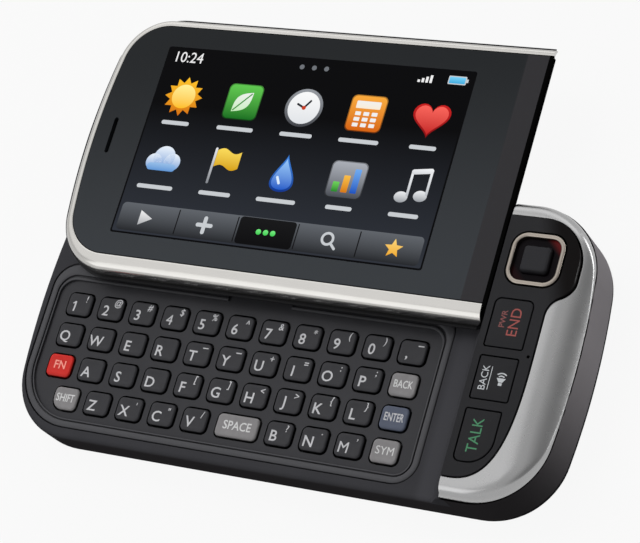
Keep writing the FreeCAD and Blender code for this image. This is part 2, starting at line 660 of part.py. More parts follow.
def make_camera_module():
    """Lens barrel through the back, on a square sensor block."""
    barrel = rod(BACK_PARTS_X, CAMERA_Y, CAMERA_SINK, SKIN + SEAM + SPARE, CAMERA_R)
    well = rod(BACK_PARTS_X, CAMERA_Y, -PAST, SKIN / 2, LENS_R)
    block = box(BACK_PARTS_X - CAMERA_R, BACK_PARTS_X + CAMERA_R, CAMERA_Y - CAMERA_R, CAMERA_Y + CAMERA_R,
                SKIN + SEAM, BOARD_Z - SEAM)
    return fuse(barrel, block).cut(well)


def make_loudspeaker():
    top = SKIN + SEAM + SPEAKER_H
    return rounded_off(rod(BACK_PARTS_X, SPEAKER_Y, SKIN + SEAM, top, SPEAKER_R), CELL_R, top)


def make_case_screws():
    """Four screws from the back through the board into the deck frame's bosses."""
    seat = SKIN + SCREW_SEAT
    screws = []
    for x, y in screw_places():
        head = rod(x, y, seat - SCREW_HEAD_H, seat, SCREW_HEAD_R)
        z0, z1 = seat - SCREW_HEAD_H - PAST, seat - SCREW_HEAD_H / 2
        cross = [box(x - CROSS_ARM, x + CROSS_ARM, y - CROSS_HALF_W, y + CROSS_HALF_W, z0, z1),
                 box(x - CROSS_HALF_W, x + CROSS_HALF_W, y - CROSS_ARM, y + CROSS_ARM, z0, z1)]
        screws.append(fuse(head.cut(cross), rod(x, y, seat, screw_end(), SCREW_R)))
    return Part.makeCompound(screws)


# ---------------------------------------------------------------- raised end
def make_end_cover():
    """Silver crescent: rolls down from the end panel to a rim on the deck frame's shoulder."""
    z0 = SHOULDER_Z + SEAM
    drop = FACE_Z - z0 - CRESCENT_RIM
    run = HALF_L - CRESCENT_END_IN - CREST_X
    lean = math.radians(CREST_LEAN)
    roll_r = math.hypot(run, drop) / 2 / math.sin(math.atan2(drop, run) - lean)
    roll_x, roll_z = CREST_X - roll_r * math.sin(lean), FACE_Z - roll_r * math.cos(lean)
    roll = rod_along(roll_x, -WIDTH, WIDTH, roll_z, roll_r)
    under = fuse(roll, box(0, CREST_X, -WIDTH, WIDTH, 0, FACE_Z))
    dome_form = rounded_off(prism(crescent_outline(z0), FACE_Z), CRESCENT_ROLL_R, FACE_Z)
    cover = dome_form.common(under).common(ramp_profile(LENGTH, 0, FACE_Z + PAST, WIDTH))
    return cover.cut([
        prism(cap_outline(CAP_GAP, PLATE_Z), FACE_Z + PAST),
        prism(cap_outline(-LEDGE_W, 0), FACE_Z),
        box(RAMP_FOOT_X, INNER_X + CAP_GAP, -CAP_HALF_W, CAP_HALF_W, 0, FACE_Z),
        rod(MIC_X, MIC_Y, 0, FACE_Z, MIC_R + CAP_GAP),
    ])


def nav_outline(grow, z):
    half_l, half_w = NAV_RING_L / 2, NAV_RING_W / 2
    return rounded(NAV_X - half_l, NAV_X + half_l, NAV_Y - half_w, NAV_Y + half_w, (NAV_RING_R,) * 4, z, grow)


def make_end_panel():
    """Black panel with an opening for each end key, the navigation ring and the microphone."""
    holes = [rod(MIC_X, MIC_Y, 0, FACE_Z + PAST, MIC_R), prism(nav_outline(CAP_GAP, 0), FACE_Z + PAST)]
    holes += [end_key_prism(key, 0, 0, FACE_Z + PAST) for key in END_KEYS.values()]
    return prism(cap_outline(0, PLATE_Z), FACE_Z).cut(holes)


def make_nav_ring():
    """Bright ring round the navigation key, held by a wider foot under the end panel."""
    foot_z = PLATE_Z - SEAM - FLANGE_T
    top = FACE_Z + NAV_RING_RISE
    ring = rounded_off(prism(nav_outline(0, foot_z), top), NAV_RING_RISE, top)
    foot = prism(nav_outline(FLANGE, foot_z), PLATE_Z - SEAM)
    return fuse(ring, foot).cut(prism(nav_outline(-NAV_RING_T, 0), FACE_Z + PAST))


def end_stem_z():
    return END_BOARD_Z + BOARD_T + DOME_H + END_KEY_TRAVEL + SPARE


def square(size, z):
    length, width, r = size
    return rounded(NAV_X - length / 2, NAV_X + length / 2, NAV_Y - width / 2, NAV_Y + width / 2, (r,) * 4, z)


def make_nav_key():
    """Raised square on a sunk skirt inside the ring, with a stem to its switch."""
    z1 = FACE_Z - NAV_DROP
    skirt = prism(nav_outline(-NAV_RING_T - END_KEY_GAP, z1 - FLANGE_T), z1)
    block = Part.makeLoft([square(NAV_FOOT, z1 - SPARE), square(NAV_TOP, FACE_Z + NAV_RISE)], True, True)
    return fuse(skirt, block, stem(NAV_X, NAV_Y, END_STEM_W, end_stem_z(), z1))


def make_end_key(key):
    """Flush key of the end panel, flanged underneath, with a stem to its switch."""
    flange_top = PLATE_Z - SEAM
    cap = end_key_prism(key, -END_KEY_GAP, flange_top - FLANGE_T, FACE_Z)
    flange = end_key_prism(key, END_KEY_GAP, flange_top - FLANGE_T, flange_top)
    return fuse(cap, flange, stem(*end_key_centre(key), END_STEM_W, end_stem_z(), flange_top))


# ---------------------------------------------------------------- screen half, drawn shut, moved open
def opened(shape):
    return shape.translated(V(0, TRAVEL, 0))


def squared_off(shape):
    """Cuts the screen half's right end: upright near the face, undercut below."""
    foot_z = SLIDER_Z - PAST
    foot_x = SLIDER_RIGHT - RAMP_SLOPE * (RAMP_TOP_Z - foot_z)
    top = FACE_Z + PAST
    right = [(foot_x, foot_z), (SLIDER_RIGHT, RAMP_TOP_Z), (SLIDER_RIGHT, top)]
    return shape.common(side_profile([(-LENGTH, foot_z)] + right + [(-LENGTH, top)], WIDTH))


def face_prism(inset, z0, z1):
    """The touch window's outline, moved in by inset, from z0 to z1."""
    half_w = SLIDER_W / 2 - FACE_SIDE_IN
    form = prism(bowed(WINDOW_LEFT, HALF_L + WIDTH, half_w, FACE_CORNER_R, SLIDER_BOW_R, inset, z0), z1)
    return form.common(box(-LENGTH, SLIDER_RIGHT - FACE_RIGHT_IN - inset, -WIDTH, WIDTH, z0, z1))


def make_slider_back_shell():
    """Black shell with a pocket under it for the slide, hollowed from above at the earpiece's end."""
    shell = prism(slider_outline(0, SLIDER_Z), TRIM_Z - SEAM)
    shell = squared_off(rounded_off(shell, SLIDER_EDGE_R, SLIDER_Z))
    x0, x1 = POCKET_X
    half = POCKET_HALF_W + POCKET_GAP
    pocket = box(x0 - POCKET_GAP, x1 + POCKET_GAP, -half, half, SLIDER_Z - PAST, POCKET_Z)
    hollow = prism(slider_outline(SKIN, SLIDER_Z + SKIN), FACE_Z)
    hollow = hollow.common(box(-LENGTH, x0 - POCKET_GAP - SKIN, -POCKET_HALF_W, POCKET_HALF_W, 0, FACE_Z))
    return shell.cut([pocket, hollow])


def make_slider_trim():
    """Bright band: rolls over from the window's edge to the black shell, thin at the right end."""
    band = squared_off(rounded_off(prism(slider_outline(TRIM_IN, TRIM_Z), FACE_Z), TRIM_ROLL_R, FACE_Z))
    return band.cut([face_prism(0, PLATE_Z, FACE_Z + PAST), face_prism(WINDOW_LEDGE, TRIM_Z - PAST, FACE_Z)])


def make_touch_window():
    half_w, half_l = EAR_SLOT[0] / 2, EAR_SLOT[1] / 2
    slot = [rod(EARPIECE_X, s * (half_l - half_w), 0, FACE_Z + PAST, half_w) for s in (-1, 1)]
    reach = half_l - half_w
    slot.append(box(EARPIECE_X - half_w, EARPIECE_X + half_w, -reach, reach, 0, FACE_Z + PAST))
    return face_prism(WINDOW_GAP, PLATE_Z, FACE_Z).cut(slot)


def make_display_module():
    x0 = WINDOW_LEFT + DISPLAY_LEFT_IN
    x1 = SLIDER_RIGHT - FACE_RIGHT_IN - DISPLAY_RIGHT_IN
    width = SLIDER_W - 2 * (FACE_SIDE_IN + DISPLAY_SIDE_IN)
    return boxed(x1 - x0, width, DISPLAY_T, (x0 + x1) / 2, TRIM_Z + SEAM)


def make_slide_plate():
    """Steel plate under the screen half: a slot for each bush, lugs that hold the rods' ends."""
    y0, y1 = LUG_L[0] - POCKET_HALF_W, POCKET_HALF_W - LUG_L[1]
    plate = box(POCKET_X[0], POCKET_X[1], -POCKET_HALF_W, POCKET_HALF_W, SLIDER_Z, SLIDER_Z + SLIDE_PLATE_T)
    lugs = []
    cuts = []
    for x in RAIL_X:
        half = BUSH_W / 2 + SLOT_GAP
        cuts.append(box(x - half, x + half, y0, y1, 0, FACE_Z))
        cuts.append(rod_along(x, -POCKET_HALF_W - PAST, POCKET_HALF_W + PAST, RAIL_Z, RAIL_R + HOLE_GAP))
        for a, b in ((-POCKET_HALF_W, y0), (y1, POCKET_HALF_W)):
            lugs.append(box(x - BUSH_W / 2, x + BUSH_W / 2, a, b, SLIDER_Z, DECK_Z + BUSH_H))
    return fuse(plate, *lugs).cut(cuts)


def make_slide_rails():
    reach = POCKET_HALF_W - POCKET_GAP
    return Part.makeCompound([rod_along(x, -reach, reach, RAIL_Z, RAIL_R) for x in RAIL_X])


# ---------------------------------------------------------------- write every piece
save("rear_shell", make_rear_shell())
save("battery_cover", make_battery_cover())
save("deck_frame", make_deck_frame())
save("keyboard_bezel", make_keyboard_bezel())
save("main_board", make_boards())
save("dome_sheet", make_dome_sheet())
save("battery", boxed(*BATTERY, BATTERY_X, SKIN + COVER_GAP))
save("slide_carriage", make_slide_carriage())
save("camera_module", make_camera_module())
save("loudspeaker", make_loudspeaker())
save("case_screws", make_case_screws())
save("end_cover", make_end_cover())
save("end_panel", make_end_panel())
save("nav_ring", make_nav_ring())
save("nav_key", make_nav_key())
for name, key in END_KEYS.items():
    save(name, make_end_key(key))
for name, place in SIDE_KEYS.items():
    save(name, make_side_key(*place))

save("slider_back_shell", opened(make_slider_back_shell()))
save("slider_trim", opened(make_slider_trim()))
save("touch_window", opened(make_touch_window()))
save("display_module", opened(make_display_module()))
save("earpiece", opened(boxed(*EARPIECE, EARPIECE_X, TRIM_Z + SEAM)))
save("slide_plate", opened(make_slide_plate()))
save("slide_rails", opened(make_slide_rails()))

save("number_keys", Part.makeCompound([key_solid(place) for place in NUMBER_KEYS]))
for name, place in KEYS.items():
    save(name, key_solid(place))
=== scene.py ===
# %% [markdown]
# # Dressing a slider phone
#
# The solids of the phone come ready made: a keyboard base with a raised end that carries the call keys, and
# a screen half that slides off it. Solids that already have the right shape keep it and get a finish. The
# keys, the keyboard panel, the silver crescent, the bright band and the lit picture are worked out as new
# surfaces, because their soft forms show most. All sizes are millimetres.

# %% Load the frame
import json
import math

import bmesh
import bpy
import numpy as np
from mathutils import Matrix, Vector


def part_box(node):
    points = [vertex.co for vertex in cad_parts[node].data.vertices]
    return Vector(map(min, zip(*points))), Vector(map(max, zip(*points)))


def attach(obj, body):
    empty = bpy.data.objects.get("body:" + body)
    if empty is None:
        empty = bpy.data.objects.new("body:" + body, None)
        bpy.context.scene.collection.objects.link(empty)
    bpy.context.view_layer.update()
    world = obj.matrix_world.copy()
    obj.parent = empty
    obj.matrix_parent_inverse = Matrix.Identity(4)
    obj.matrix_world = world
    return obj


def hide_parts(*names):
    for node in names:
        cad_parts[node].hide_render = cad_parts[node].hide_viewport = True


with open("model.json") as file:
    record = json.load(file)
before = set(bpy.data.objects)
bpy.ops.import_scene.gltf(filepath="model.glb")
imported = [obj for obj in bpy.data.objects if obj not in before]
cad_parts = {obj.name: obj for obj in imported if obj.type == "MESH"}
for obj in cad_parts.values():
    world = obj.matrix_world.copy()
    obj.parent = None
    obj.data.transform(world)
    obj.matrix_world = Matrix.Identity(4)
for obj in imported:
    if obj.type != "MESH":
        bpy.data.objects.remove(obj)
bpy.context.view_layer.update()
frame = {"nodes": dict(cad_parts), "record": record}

MM = 0.001


# %% [markdown]
# ## Grids, loops and closed forms
#
# Nearly every new piece is made the same way: an outline with a fixed number of points is repeated at several
# levels, each a little smaller or higher than the one before. Points that follow each other on two levels
# make a quad. The first and last level close with a fan, so each piece is watertight.

# %% Faces of grids and fans
def grid_faces(rows, columns, closed_rows=False, closed_columns=True):
    """Quads (i, j), (i, j+1), (i+1, j+1), (i+1, j) of a grid of points, counted round where a way is closed."""
    i = np.arange(rows if closed_rows else rows - 1)[:, None]
    j = np.arange(columns if closed_columns else columns - 1)[None, :]
    below, above, right = i * columns, (i + 1) % rows * columns, (j + 1) % columns
    return np.stack(np.broadcast_arrays(below + j, below + right, above + right, above + j), -1).reshape(-1, 4)


def fan(middle, first, second):
    """Triangles from one middle point to each pair of points."""
    return np.stack([np.full(len(first), middle), first, second], 1)


def round_trip(count):
    """The numbers of a closed loop's points, and of the points that follow them."""
    return np.arange(count), (np.arange(count) + 1) % count


def stacked(levels):
    """Closed form from outlines stacked upwards: quads between levels, a fan about the mean at both ends."""
    loops = np.array(levels)
    height, count = loops.shape[:2]
    points = np.concatenate([loops.reshape(-1, 3), loops[:1].mean(1), loops[-1:].mean(1)])
    (here, following), foot, last = round_trip(count), height * count, (height - 1) * count
    ends = [fan(foot, following, here), fan(foot + 1, last + here, last + following)]
    return points, [grid_faces(height, count), np.concatenate(ends)]


def closed_ribbon(section):
    """Closed form from a loop of points carried along a run, with fans at both ends: section[i, j] is point i
    of the loop at place j of the run."""
    rows, columns = section.shape[:2]
    points = np.concatenate([section.reshape(-1, 3), section[:, 0].mean(0)[None], section[:, -1].mean(0)[None]])
    (here, following), count = round_trip(rows), rows * columns
    ends = [fan(count, here * columns, following * columns),
            fan(count + 1, (following + 1) * columns - 1, (here + 1) * columns - 1)]
    return points, [grid_faces(rows, columns, closed_rows=True, closed_columns=False), np.concatenate(ends)]


def ring(levels):
    """Closed tube from a loop of points carried round a closed run."""
    section = np.array(levels)
    return section.reshape(-1, 3), [grid_faces(*section.shape[:2], closed_rows=True)]


def together(shapes):
    """Several shapes as one: each one's faces count on from the points before it."""
    starts = np.cumsum([0] + [len(points) for points, _ in shapes])
    faces = [group + start for (_, groups), start in zip(shapes, starts) for group in groups]
    return np.concatenate([points for points, _ in shapes]), faces


print("a cube's sides as a grid:", len(grid_faces(2, 4)), "quads")


# %% Outlines
def about(x, y, half_l, half_w):
    """The four edges of a rectangle about (x, y)."""
    return x - half_l, x + half_l, y - half_w, y + half_w


def rounded(x0, x1, y0, y1, radii, steps=7):
    """Rectangle with round corners, anticlockwise from front left: corner middle + radius * (cos t, sin t)."""
    r = np.broadcast_to(np.asarray(radii, float), 4)[:, None]
    side = np.array([[1, -1, -1, 1], [1, 1, -1, -1]], float)[:, :, None]
    t = np.radians(np.array([180, 270, 0, 90])[:, None] + np.linspace(0, 90, steps))
    x = np.array([x0, x1, x1, x0])[:, None] + side[0] * r + r * np.cos(t)
    y = np.array([y0, y0, y1, y1])[:, None] + side[1] * r + r * np.sin(t)
    return np.stack([x, y], -1).reshape(-1, 2)


def shrunk(x0, x1, y0, y1, radii, inset, steps=7):
    """The same outline moved inwards, its radii smaller by as much."""
    smaller = np.maximum(np.asarray(radii, float) - inset, 0.05)
    return rounded(x0 + inset, x1 - inset, y0 + inset, y1 - inset, smaller, steps)


def divided(loop, extra=6):
    """The outline with more points along its four straight sides, so that it can bend with a dish."""
    corners = loop.reshape(4, -1, 2)
    last, following = corners[:, -1:], np.roll(corners[:, :1], -1, axis=0)
    t = np.linspace(0, 1, extra + 2)[1:-1, None]
    return np.concatenate([corners, last + (following - last) * t], axis=1).reshape(-1, 2)


def arc(x, y, r, a0, a1, steps=24):
    """Points on a circle from the angle a0 to a1, in degrees."""
    t = np.radians(np.linspace(a0, a1, steps))
    return np.column_stack([x + r * np.cos(t), y + r * np.sin(t)])


def spun(flat, angle, x, y):
    """Flat points turned about the origin by an angle in degrees, then moved to (x, y)."""
    c, s = math.cos(math.radians(angle)), math.sin(math.radians(angle))
    return flat @ np.array([[c, s], [-s, c]]) + (x, y)


def bar(x, y, length, width, angle):
    """A round-ended bar about (x, y)."""
    return spun(rounded(-length / 2, length / 2, -width / 2, width / 2, width / 2 - 0.01), angle, x, y)


def evenly(points, count):
    """A run of points taken anew at equal steps along its length."""
    run = np.concatenate([[0], np.cumsum(np.linalg.norm(np.diff(points, axis=0), axis=1))])
    at = np.linspace(0, run[-1], count)
    return np.column_stack([np.interp(at, run, points[:, k]) for k in range(points.shape[1])])


print("an outline has", len(rounded(0, 1, 0, 1, 0.2)), "points")


# %% Outlines lifted to a height
def at_height(loop, z):
    """A flat outline lifted to a height, which may differ from point to point."""
    return np.column_stack([loop, np.broadcast_to(z, len(loop))])


def raised(shape, z):
    """A shape moved up."""
    return shape[0] + (0, 0, z), shape[1]


def flat_form(loop, z0, z1):
    """An upright prism from a flat outline whose every point can be seen from its mean."""
    return stacked([at_height(loop, z0), at_height(loop, z1)])


def footed(stem, flange, foot, z0, z1):
    """Levels of a key's stem, down to its switch, and of the flange that keeps it in its opening."""
    return [at_height(stem, foot), at_height(stem, z0), at_height(flange, z0), at_height(flange, z1)]


def quarter_turn(steps):
    """How far over and how far down a quarter round of radius 1 is: (1 - cos t, 1 - sin t)."""
    return [(1 - math.cos(t), 1 - math.sin(t)) for t in np.radians(np.linspace(0, 90, steps))]


print("a quarter round ends", quarter_turn(5)[-1][1], "below its top")

# %% [markdown]
# ## From points to a piece
#
# A piece rides on a body of the frame, so it moves with it, and it may stand for a solid that is then hidden.
# Its object stays at the origin, with its place in its mesh. Smooth shading rounds the light over small
# faces, and edges sharper than a set angle stay crisp.

# %% Make a piece
SHARP = math.radians(38)
FINISHES = {}  # slot of the record: finish


def turned_out(points, groups):
    """Faces turned round if the volume they close, the sum of p0 . (p1 x p2) / 6, is negative."""
    volume = 0.0
    for group in groups:
        for k in range(1, group.shape[1] - 1):
            p0, p1, p2 = (points[group[:, c]] for c in (0, k, k + 1))
            volume += np.einsum("ij,ij->", p0, np.cross(p1, p2)) / 6
    return groups if volume > 0 else [group[:, ::-1] for group in groups]


def make_piece(name, shape, body, slot, stands_for=(), tint=None, finish=None):
    """A mesh object from millimetre points, in its slot's finish unless it is given its own. tint is one colour
    or one number per point, kept as an attribute."""
    points, groups = shape
    mesh = bpy.data.meshes.new(name)
    faces = [face for group in turned_out(points, groups) for face in group.tolist()]
    mesh.from_pydata((points * MM).tolist(), [], faces)
    mesh.polygons.foreach_set("use_smooth", np.full(len(mesh.polygons), True))
    mesh.set_sharp_from_angle(angle=SHARP)
    if tint is not None:
        colours = np.ones((len(points), 4), np.float32)
        colours[:, :3] = np.reshape(tint, (len(points), -1))
        layer = mesh.color_attributes.new("tint", "FLOAT_COLOR", "POINT")
        layer.data.foreach_set("color", colours.ravel())
    mesh.materials.append((finish or FINISHES[slot]).material)
    thing = bpy.data.objects.new(name, mesh)
    bpy.context.scene.collection.objects.link(thing)
    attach(thing, body)
    if stands_for:
        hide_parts(*stands_for)
    print(name, "has", len(faces), "faces")


print("edges sharper than", round(math.degrees(SHARP)), "degrees stay crisp")


# %% [markdown]
# ## Writing materials as sums
#
# A material is a small graph of nodes. Joining Math nodes by hand is hard to read, so `Level` wraps one
# socket inside the graph, and `+`, `-` and `*` add the nodes. `Graph` adds any node with one method: its
# settings first, then its sockets. `Finish` is the graph of a Principled material. A value that is the same
# everywhere is set on the shader itself.

# %% Sockets and graphs
class Level:
    """One socket of a graph: a number that changes over a surface, a colour or a shader."""

    def __init__(self, graph, socket):
        self.graph, self.socket = graph, socket

    def _sum(self, operation, first, second):
        return self.graph.add("Math", {"operation": operation}, {0: first, 1: second})

    def __add__(self, other):
        return self._sum("ADD", self, other)

    def __radd__(self, other):
        return self._sum("ADD", other, self)

    def __sub__(self, other):
        return self._sum("SUBTRACT", self, other)

    def __rsub__(self, other):
        return self._sum("SUBTRACT", other, self)

    def __mul__(self, other):
        return self._sum("MULTIPLY", self, other)

    def step(self, low, high, start=0.0, end=1.0):
        """start below low and end above high, with a soft change between."""
        sockets = {"Value": self, "From Min": low, "From Max": high, "To Min": start, "To Max": end}
        return self.graph.add("MapRange", {"interpolation_type": "SMOOTHSTEP"}, sockets)


class Graph:
    """A tree of nodes."""

    def __init__(self, tree):
        self.tree = tree

    def add(self, kind, settings, sockets, out=0):
        """Adds any shader node: settings are its properties, sockets its values or links by name or number."""
        node = self.tree.nodes.new("ShaderNode" + kind)
        for key, value in settings.items():
            setattr(node, key, value)
        for key, value in sockets.items():
            if isinstance(value, Level):
                self.tree.links.new(value.socket, node.inputs[key])
            else:
                node.inputs[key].default_value = value
        return Level(self, node.outputs[out])

    def show(self, level):
        """Joins a shader to the output."""
        output = next(node for node in self.tree.nodes if node.type.startswith("OUTPUT"))
        self.tree.links.new(level.socket, output.inputs[0])


print("materials are written as sums of levels")


# %% A finish
def times(colour, k):
    return tuple(c * k for c in colour)


class Finish(Graph):
    """A Principled material with helpers for what changes over its surface."""

    def __init__(self, name, colour, roughness, metallic=0.0, specular=0.5, coat=0.0):
        self.material = bpy.data.materials.new(name)
        self.material.use_nodes = True
        super().__init__(self.material.node_tree)
        self.shader = next(node for node in self.tree.nodes if node.type == "BSDF_PRINCIPLED")
        self.plain({"Base Color": (*colour, 1), "Roughness": roughness, "Metallic": metallic,
                    "Specular IOR Level": specular, "Coat Weight": coat, "Coat Roughness": 0.12})

    def plain(self, sockets):
        """Values on the shader's own sockets, the same all over."""
        for key, value in sockets.items():
            self.shader.inputs[key].default_value = value

    def link(self, socket, value):
        self.tree.links.new(value.socket, self.shader.inputs[socket])

    def place(self):
        """Where a point of the piece is, in millimetres."""
        here = self.add("TexCoord", {}, {}, out="Object")
        return self.add("Mapping", {"vector_type": "POINT"}, {0: here, "Scale": (1 / MM,) * 3})

    def along(self, axis):
        """One coordinate of the place: 0, 1 or 2."""
        return self.add("SeparateXYZ", {}, {0: self.place()}, out=axis)

    def noise(self, size, detail=2.0):
        """Cloudy noise from 0 to 1 whose patches are about size millimetres across."""
        return self.add("TexNoise", {}, {"Vector": self.place(), "Scale": 1 / size, "Detail": detail})

    def mix(self, first, second, share):
        """From the first colour to the second as share goes from 0 to 1."""
        colours = {6: first, 7: second}
        sockets = {key: value if isinstance(value, Level) else (*value, 1) for key, value in colours.items()}
        return self.add("Mix", {"data_type": "RGBA"}, {0: share, **sockets}, out=2)

    def shade(self, colour, share, drift=0.12):
        """One colour that drifts to both sides of itself by a few percent."""
        return self.mix(times(colour, 1 - drift), times(colour, 1 + drift), share)

    def tint(self):
        """The colour that a made piece carries on its points."""
        return self.add("Attribute", {"attribute_name": "tint"}, {}, out="Color")

    def bump(self, grain, depth):
        """Fine relief: noise of a grain in millimetres stands depth millimetres high."""
        self.link("Normal", self.add("Bump", {}, {"Height": self.noise(grain), "Distance": depth * MM}))

    def handled(self, roughness, spread):
        """Gloss that handling has made uneven: roughness +- spread / 2."""
        self.link("Roughness", roughness + (self.noise(4.0, 4.0) - 0.5) * spread)


print("twice a colour:", times((0.1, 0.2, 0.3), 2))

# %% [markdown]
# ## Moulded and painted surfaces
#
# Phone shells are moulded plastic with a spark-eroded grain far finer than a millimetre, or plastic sprayed
# with a paint that holds tiny metal flakes. Both look flat without three small things: grain in the relief,
# a colour that drifts by a few percent, and a gloss that handling has made uneven. `surface` adds all three.

# %% One function for moulded and painted surfaces
PATCH = (9.0, 3.0)  # size and detail of the soft patches in which a colour drifts


def surface(name, colour, roughness, metallic=0.0, specular=0.5, coat=0.0, grain=0.25, depth=0.006, drift=0.12,
            flake=0.0):
    """A drifting colour, uneven gloss and fine grain. flake is the drift's share that is as fine as dust."""
    finish = Finish(name, colour, roughness, metallic, specular, coat)
    share = finish.noise(*PATCH)
    if flake:
        share = share * (1 - flake) + finish.noise(0.12, 1.0) * flake
    finish.link("Base Color", finish.shade(colour, share, drift))
    finish.handled(roughness, 0.08)
    finish.bump(grain, depth)
    return finish


FINISHES.update({
    "back_black": surface("back_moulding", (0.022, 0.022, 0.024), 0.52, specular=0.0, grain=0.3, depth=0.02),
    "board": surface("solder_mask", (0.02, 0.12, 0.06), 0.35, depth=0.01, grain=0.8),
    "film": surface("dome_film", (0.55, 0.42, 0.16), 0.22, coat=0.4, drift=0.06),
    "cell_wrap": surface("cell_wrapper", (0.20, 0.21, 0.23), 0.4, drift=0.05),
    "carriage_nylon": surface("slide_nylon", (0.03, 0.03, 0.032), 0.5, grain=0.4),
    "lens_black": surface("camera_barrel", (0.008, 0.008, 0.01), 0.18, coat=0.5, depth=0.001),
    "speaker_can": surface("speaker_metal", (0.12, 0.12, 0.125), 0.4, 0.9, grain=0.5, depth=0.03),
    "screw_steel": surface("dark_screw", (0.16, 0.16, 0.17), 0.33, 1.0, depth=0.004),
    "silver_cover": surface("silver_paint", (0.36, 0.36, 0.362), 0.27, 1.0, flake=0.75, drift=0.09,
                            depth=0.002),
    "bright_ring": surface("ring_metal", (0.31, 0.275, 0.24), 0.3, 1.0, drift=0.05, depth=0.001),
    "shell_black": surface("screen_shell", (0.006, 0.006, 0.007), 0.45, specular=0.15, grain=0.3, depth=0.008),
    "display_glass": surface("display_edge", (0.02, 0.02, 0.025), 0.3),
    "spring_steel": surface("steel_plate", (0.42, 0.42, 0.43), 0.3, 1.0, drift=0.06, grain=0.4),
    "side_key": surface("side_key_paint", (0.05, 0.05, 0.054), 0.3, 0.3, specular=0.25, depth=0.003),
})
print(len(FINISHES), "moulded and painted finishes")


# %% [markdown]
# ## Finishes that know where they are
#
# Some mouldings are one solid but wear more than one shade: the deck is darker than the sides of the same
# frame. Much of the rest is painted light and shade. Painted shade darkens the frame's sides towards the
# front, and blackens its gap under the crescent and the walls of the key openings. Painted highlights pale the
# slope up to the raised end and the bead round the keyboard. Painted reflections darken the bright band where
# it meets the shell and the end panel towards its nose, and lighten the window towards the front. A height or
# a distance along the phone, stepped from 0 to 1, mixes the shades.

# %% Zoned finishes
SHOULDER_Z, FACE_Z = 13.3, 16.8
END_X = 38.1  # where the raised end begins
STRIP_X = 32.9  # where the plain strip of the window begins
CAP_TOP = 9.83


def zoned(name, colour, roughness, metallic=0.0, specular=0.2, depth=0.003):
    """A finish with grain and uneven gloss whose colour is still to be linked, and its soft patches."""
    finish = Finish(name, colour, roughness, metallic, specular)
    finish.handled(roughness, 0.07)
    finish.bump(0.25, depth)
    return finish, finish.noise(*PATCH)


def band_finish():
    """Grey mauve sides, darkened towards the front by painted shade; a charcoal deck with a painted highlight
    on the slope up to the raised end; near black in the gap under the crescent, which is painted shade.
    """
    finish, patches = zoned("band_paint", (0.07, 0.067, 0.071), 0.45, specular=0.0)
    x, y, z = (finish.along(axis) for axis in range(3))
    deck = z.step(9.25, 9.8) * (1 - x.step(END_X, END_X + 0.3))
    # painted shade: the gap under the crescent is near black
    gap = z.step(13.0, 13.15) * x.step(END_X - 1.5, END_X)
    # painted highlight: the slope up to the raised end is paler, for the light it catches
    ramp_highlight = x.step(30.6, 32.5) * (1 - x.step(33.4, 36.8))
    # painted shade: the sides run from near black at the front to grey mauve at the back
    front_shade = finish.mix((0.030, 0.028, 0.030), (0.28, 0.264, 0.277), y.step(-27.0, 6.0))
    sides = finish.mix(front_shade, (0.070, 0.066, 0.070), patches * 0.12)
    top = finish.mix(finish.shade((0.047, 0.047, 0.052), patches), (0.062, 0.062, 0.069), ramp_highlight * 0.8)
    finish.link("Base Color", finish.mix(finish.mix(sides, top, deck), (0.003, 0.003, 0.003), gap))
    return finish


def keyboard_finish():
    """Walls in the openings painted black as shade, a charcoal floor, and a bead painted paler as a highlight,
    told apart by height.
    """
    finish, patches = zoned("keyboard_panel", (0.03, 0.03, 0.034), 0.42, specular=0.1, depth=0.006)
    z = finish.along(2)
    # painted highlight: the bead above z 9.72 is paler than the floor
    panel = finish.mix(finish.shade((0.039, 0.039, 0.043), patches), (0.074, 0.074, 0.080), z.step(9.72, 9.9))
    # painted shade: the walls of the openings below z 9.28 go black
    finish.link("Base Color", finish.mix((0.002, 0.002, 0.002), panel, z.step(9.2, 9.28)))
    return finish


def trim_finish():
    """Plated metal, darker where it meets the shell: a painted reflection of the dark shell and keyboard."""
    finish, patches = zoned("trim_metal", (0.47, 0.46, 0.44), 0.22, metallic=1.0, depth=0.0008)
    # painted reflection: darker below z 14, where the band would mirror the dark parts below it
    low = 1 - finish.along(2).step(13.4, 14.0)
    bright = finish.shade((0.48, 0.47, 0.45), patches, drift=0.03)
    finish.link("Base Color", finish.mix(bright, (0.20, 0.195, 0.185), low))
    return finish


def end_panel_finish():
    """Satin black, glossier towards the nose by the navigation key, where a painted dark reflection takes its
    colour to near black.
    """
    finish, patches = zoned("end_panel_black", (0.02, 0.02, 0.022), 0.3, specular=0.06, depth=0.001)
    x, y = finish.along(0), finish.along(1)
    # painted reflection: the colour goes near black towards the nose
    nose = (x + (y - 12.0) * 0.35).step(47.0, 52.0) * y.step(2.0, 9.0)
    satin = finish.shade((0.020, 0.020, 0.022), patches)
    finish.link("Base Color", finish.mix(satin, (0.002, 0.001, 0.001), nose))
    finish.link("Roughness", 0.30 - nose * 0.2)
    return finish


def window_finish():
    """Glossy, printed near black behind, with a painted reflection that lightens it to dark blue grey towards
    the front; the strip by the free end is warmer and softer.
    """
    finish = Finish("window_gloss", (0.010, 0.011, 0.014), 0.07, specular=0.1)
    x, y = finish.along(0), finish.along(1)
    strip = x.step(STRIP_X - 0.15, STRIP_X + 0.15)
    # painted reflection: lighter towards the front edge
    near = 1 - (y - x * 0.1).step(5.0, 56.0)
    glass = finish.mix((0.010, 0.012, 0.014), (0.036, 0.041, 0.047), near)
    finish.link("Base Color", finish.mix(glass, (0.024, 0.023, 0.026), strip))
    finish.link("Roughness", 0.06 + strip * 0.2 + finish.noise(14.0, 3.0) * 0.04)
    return finish


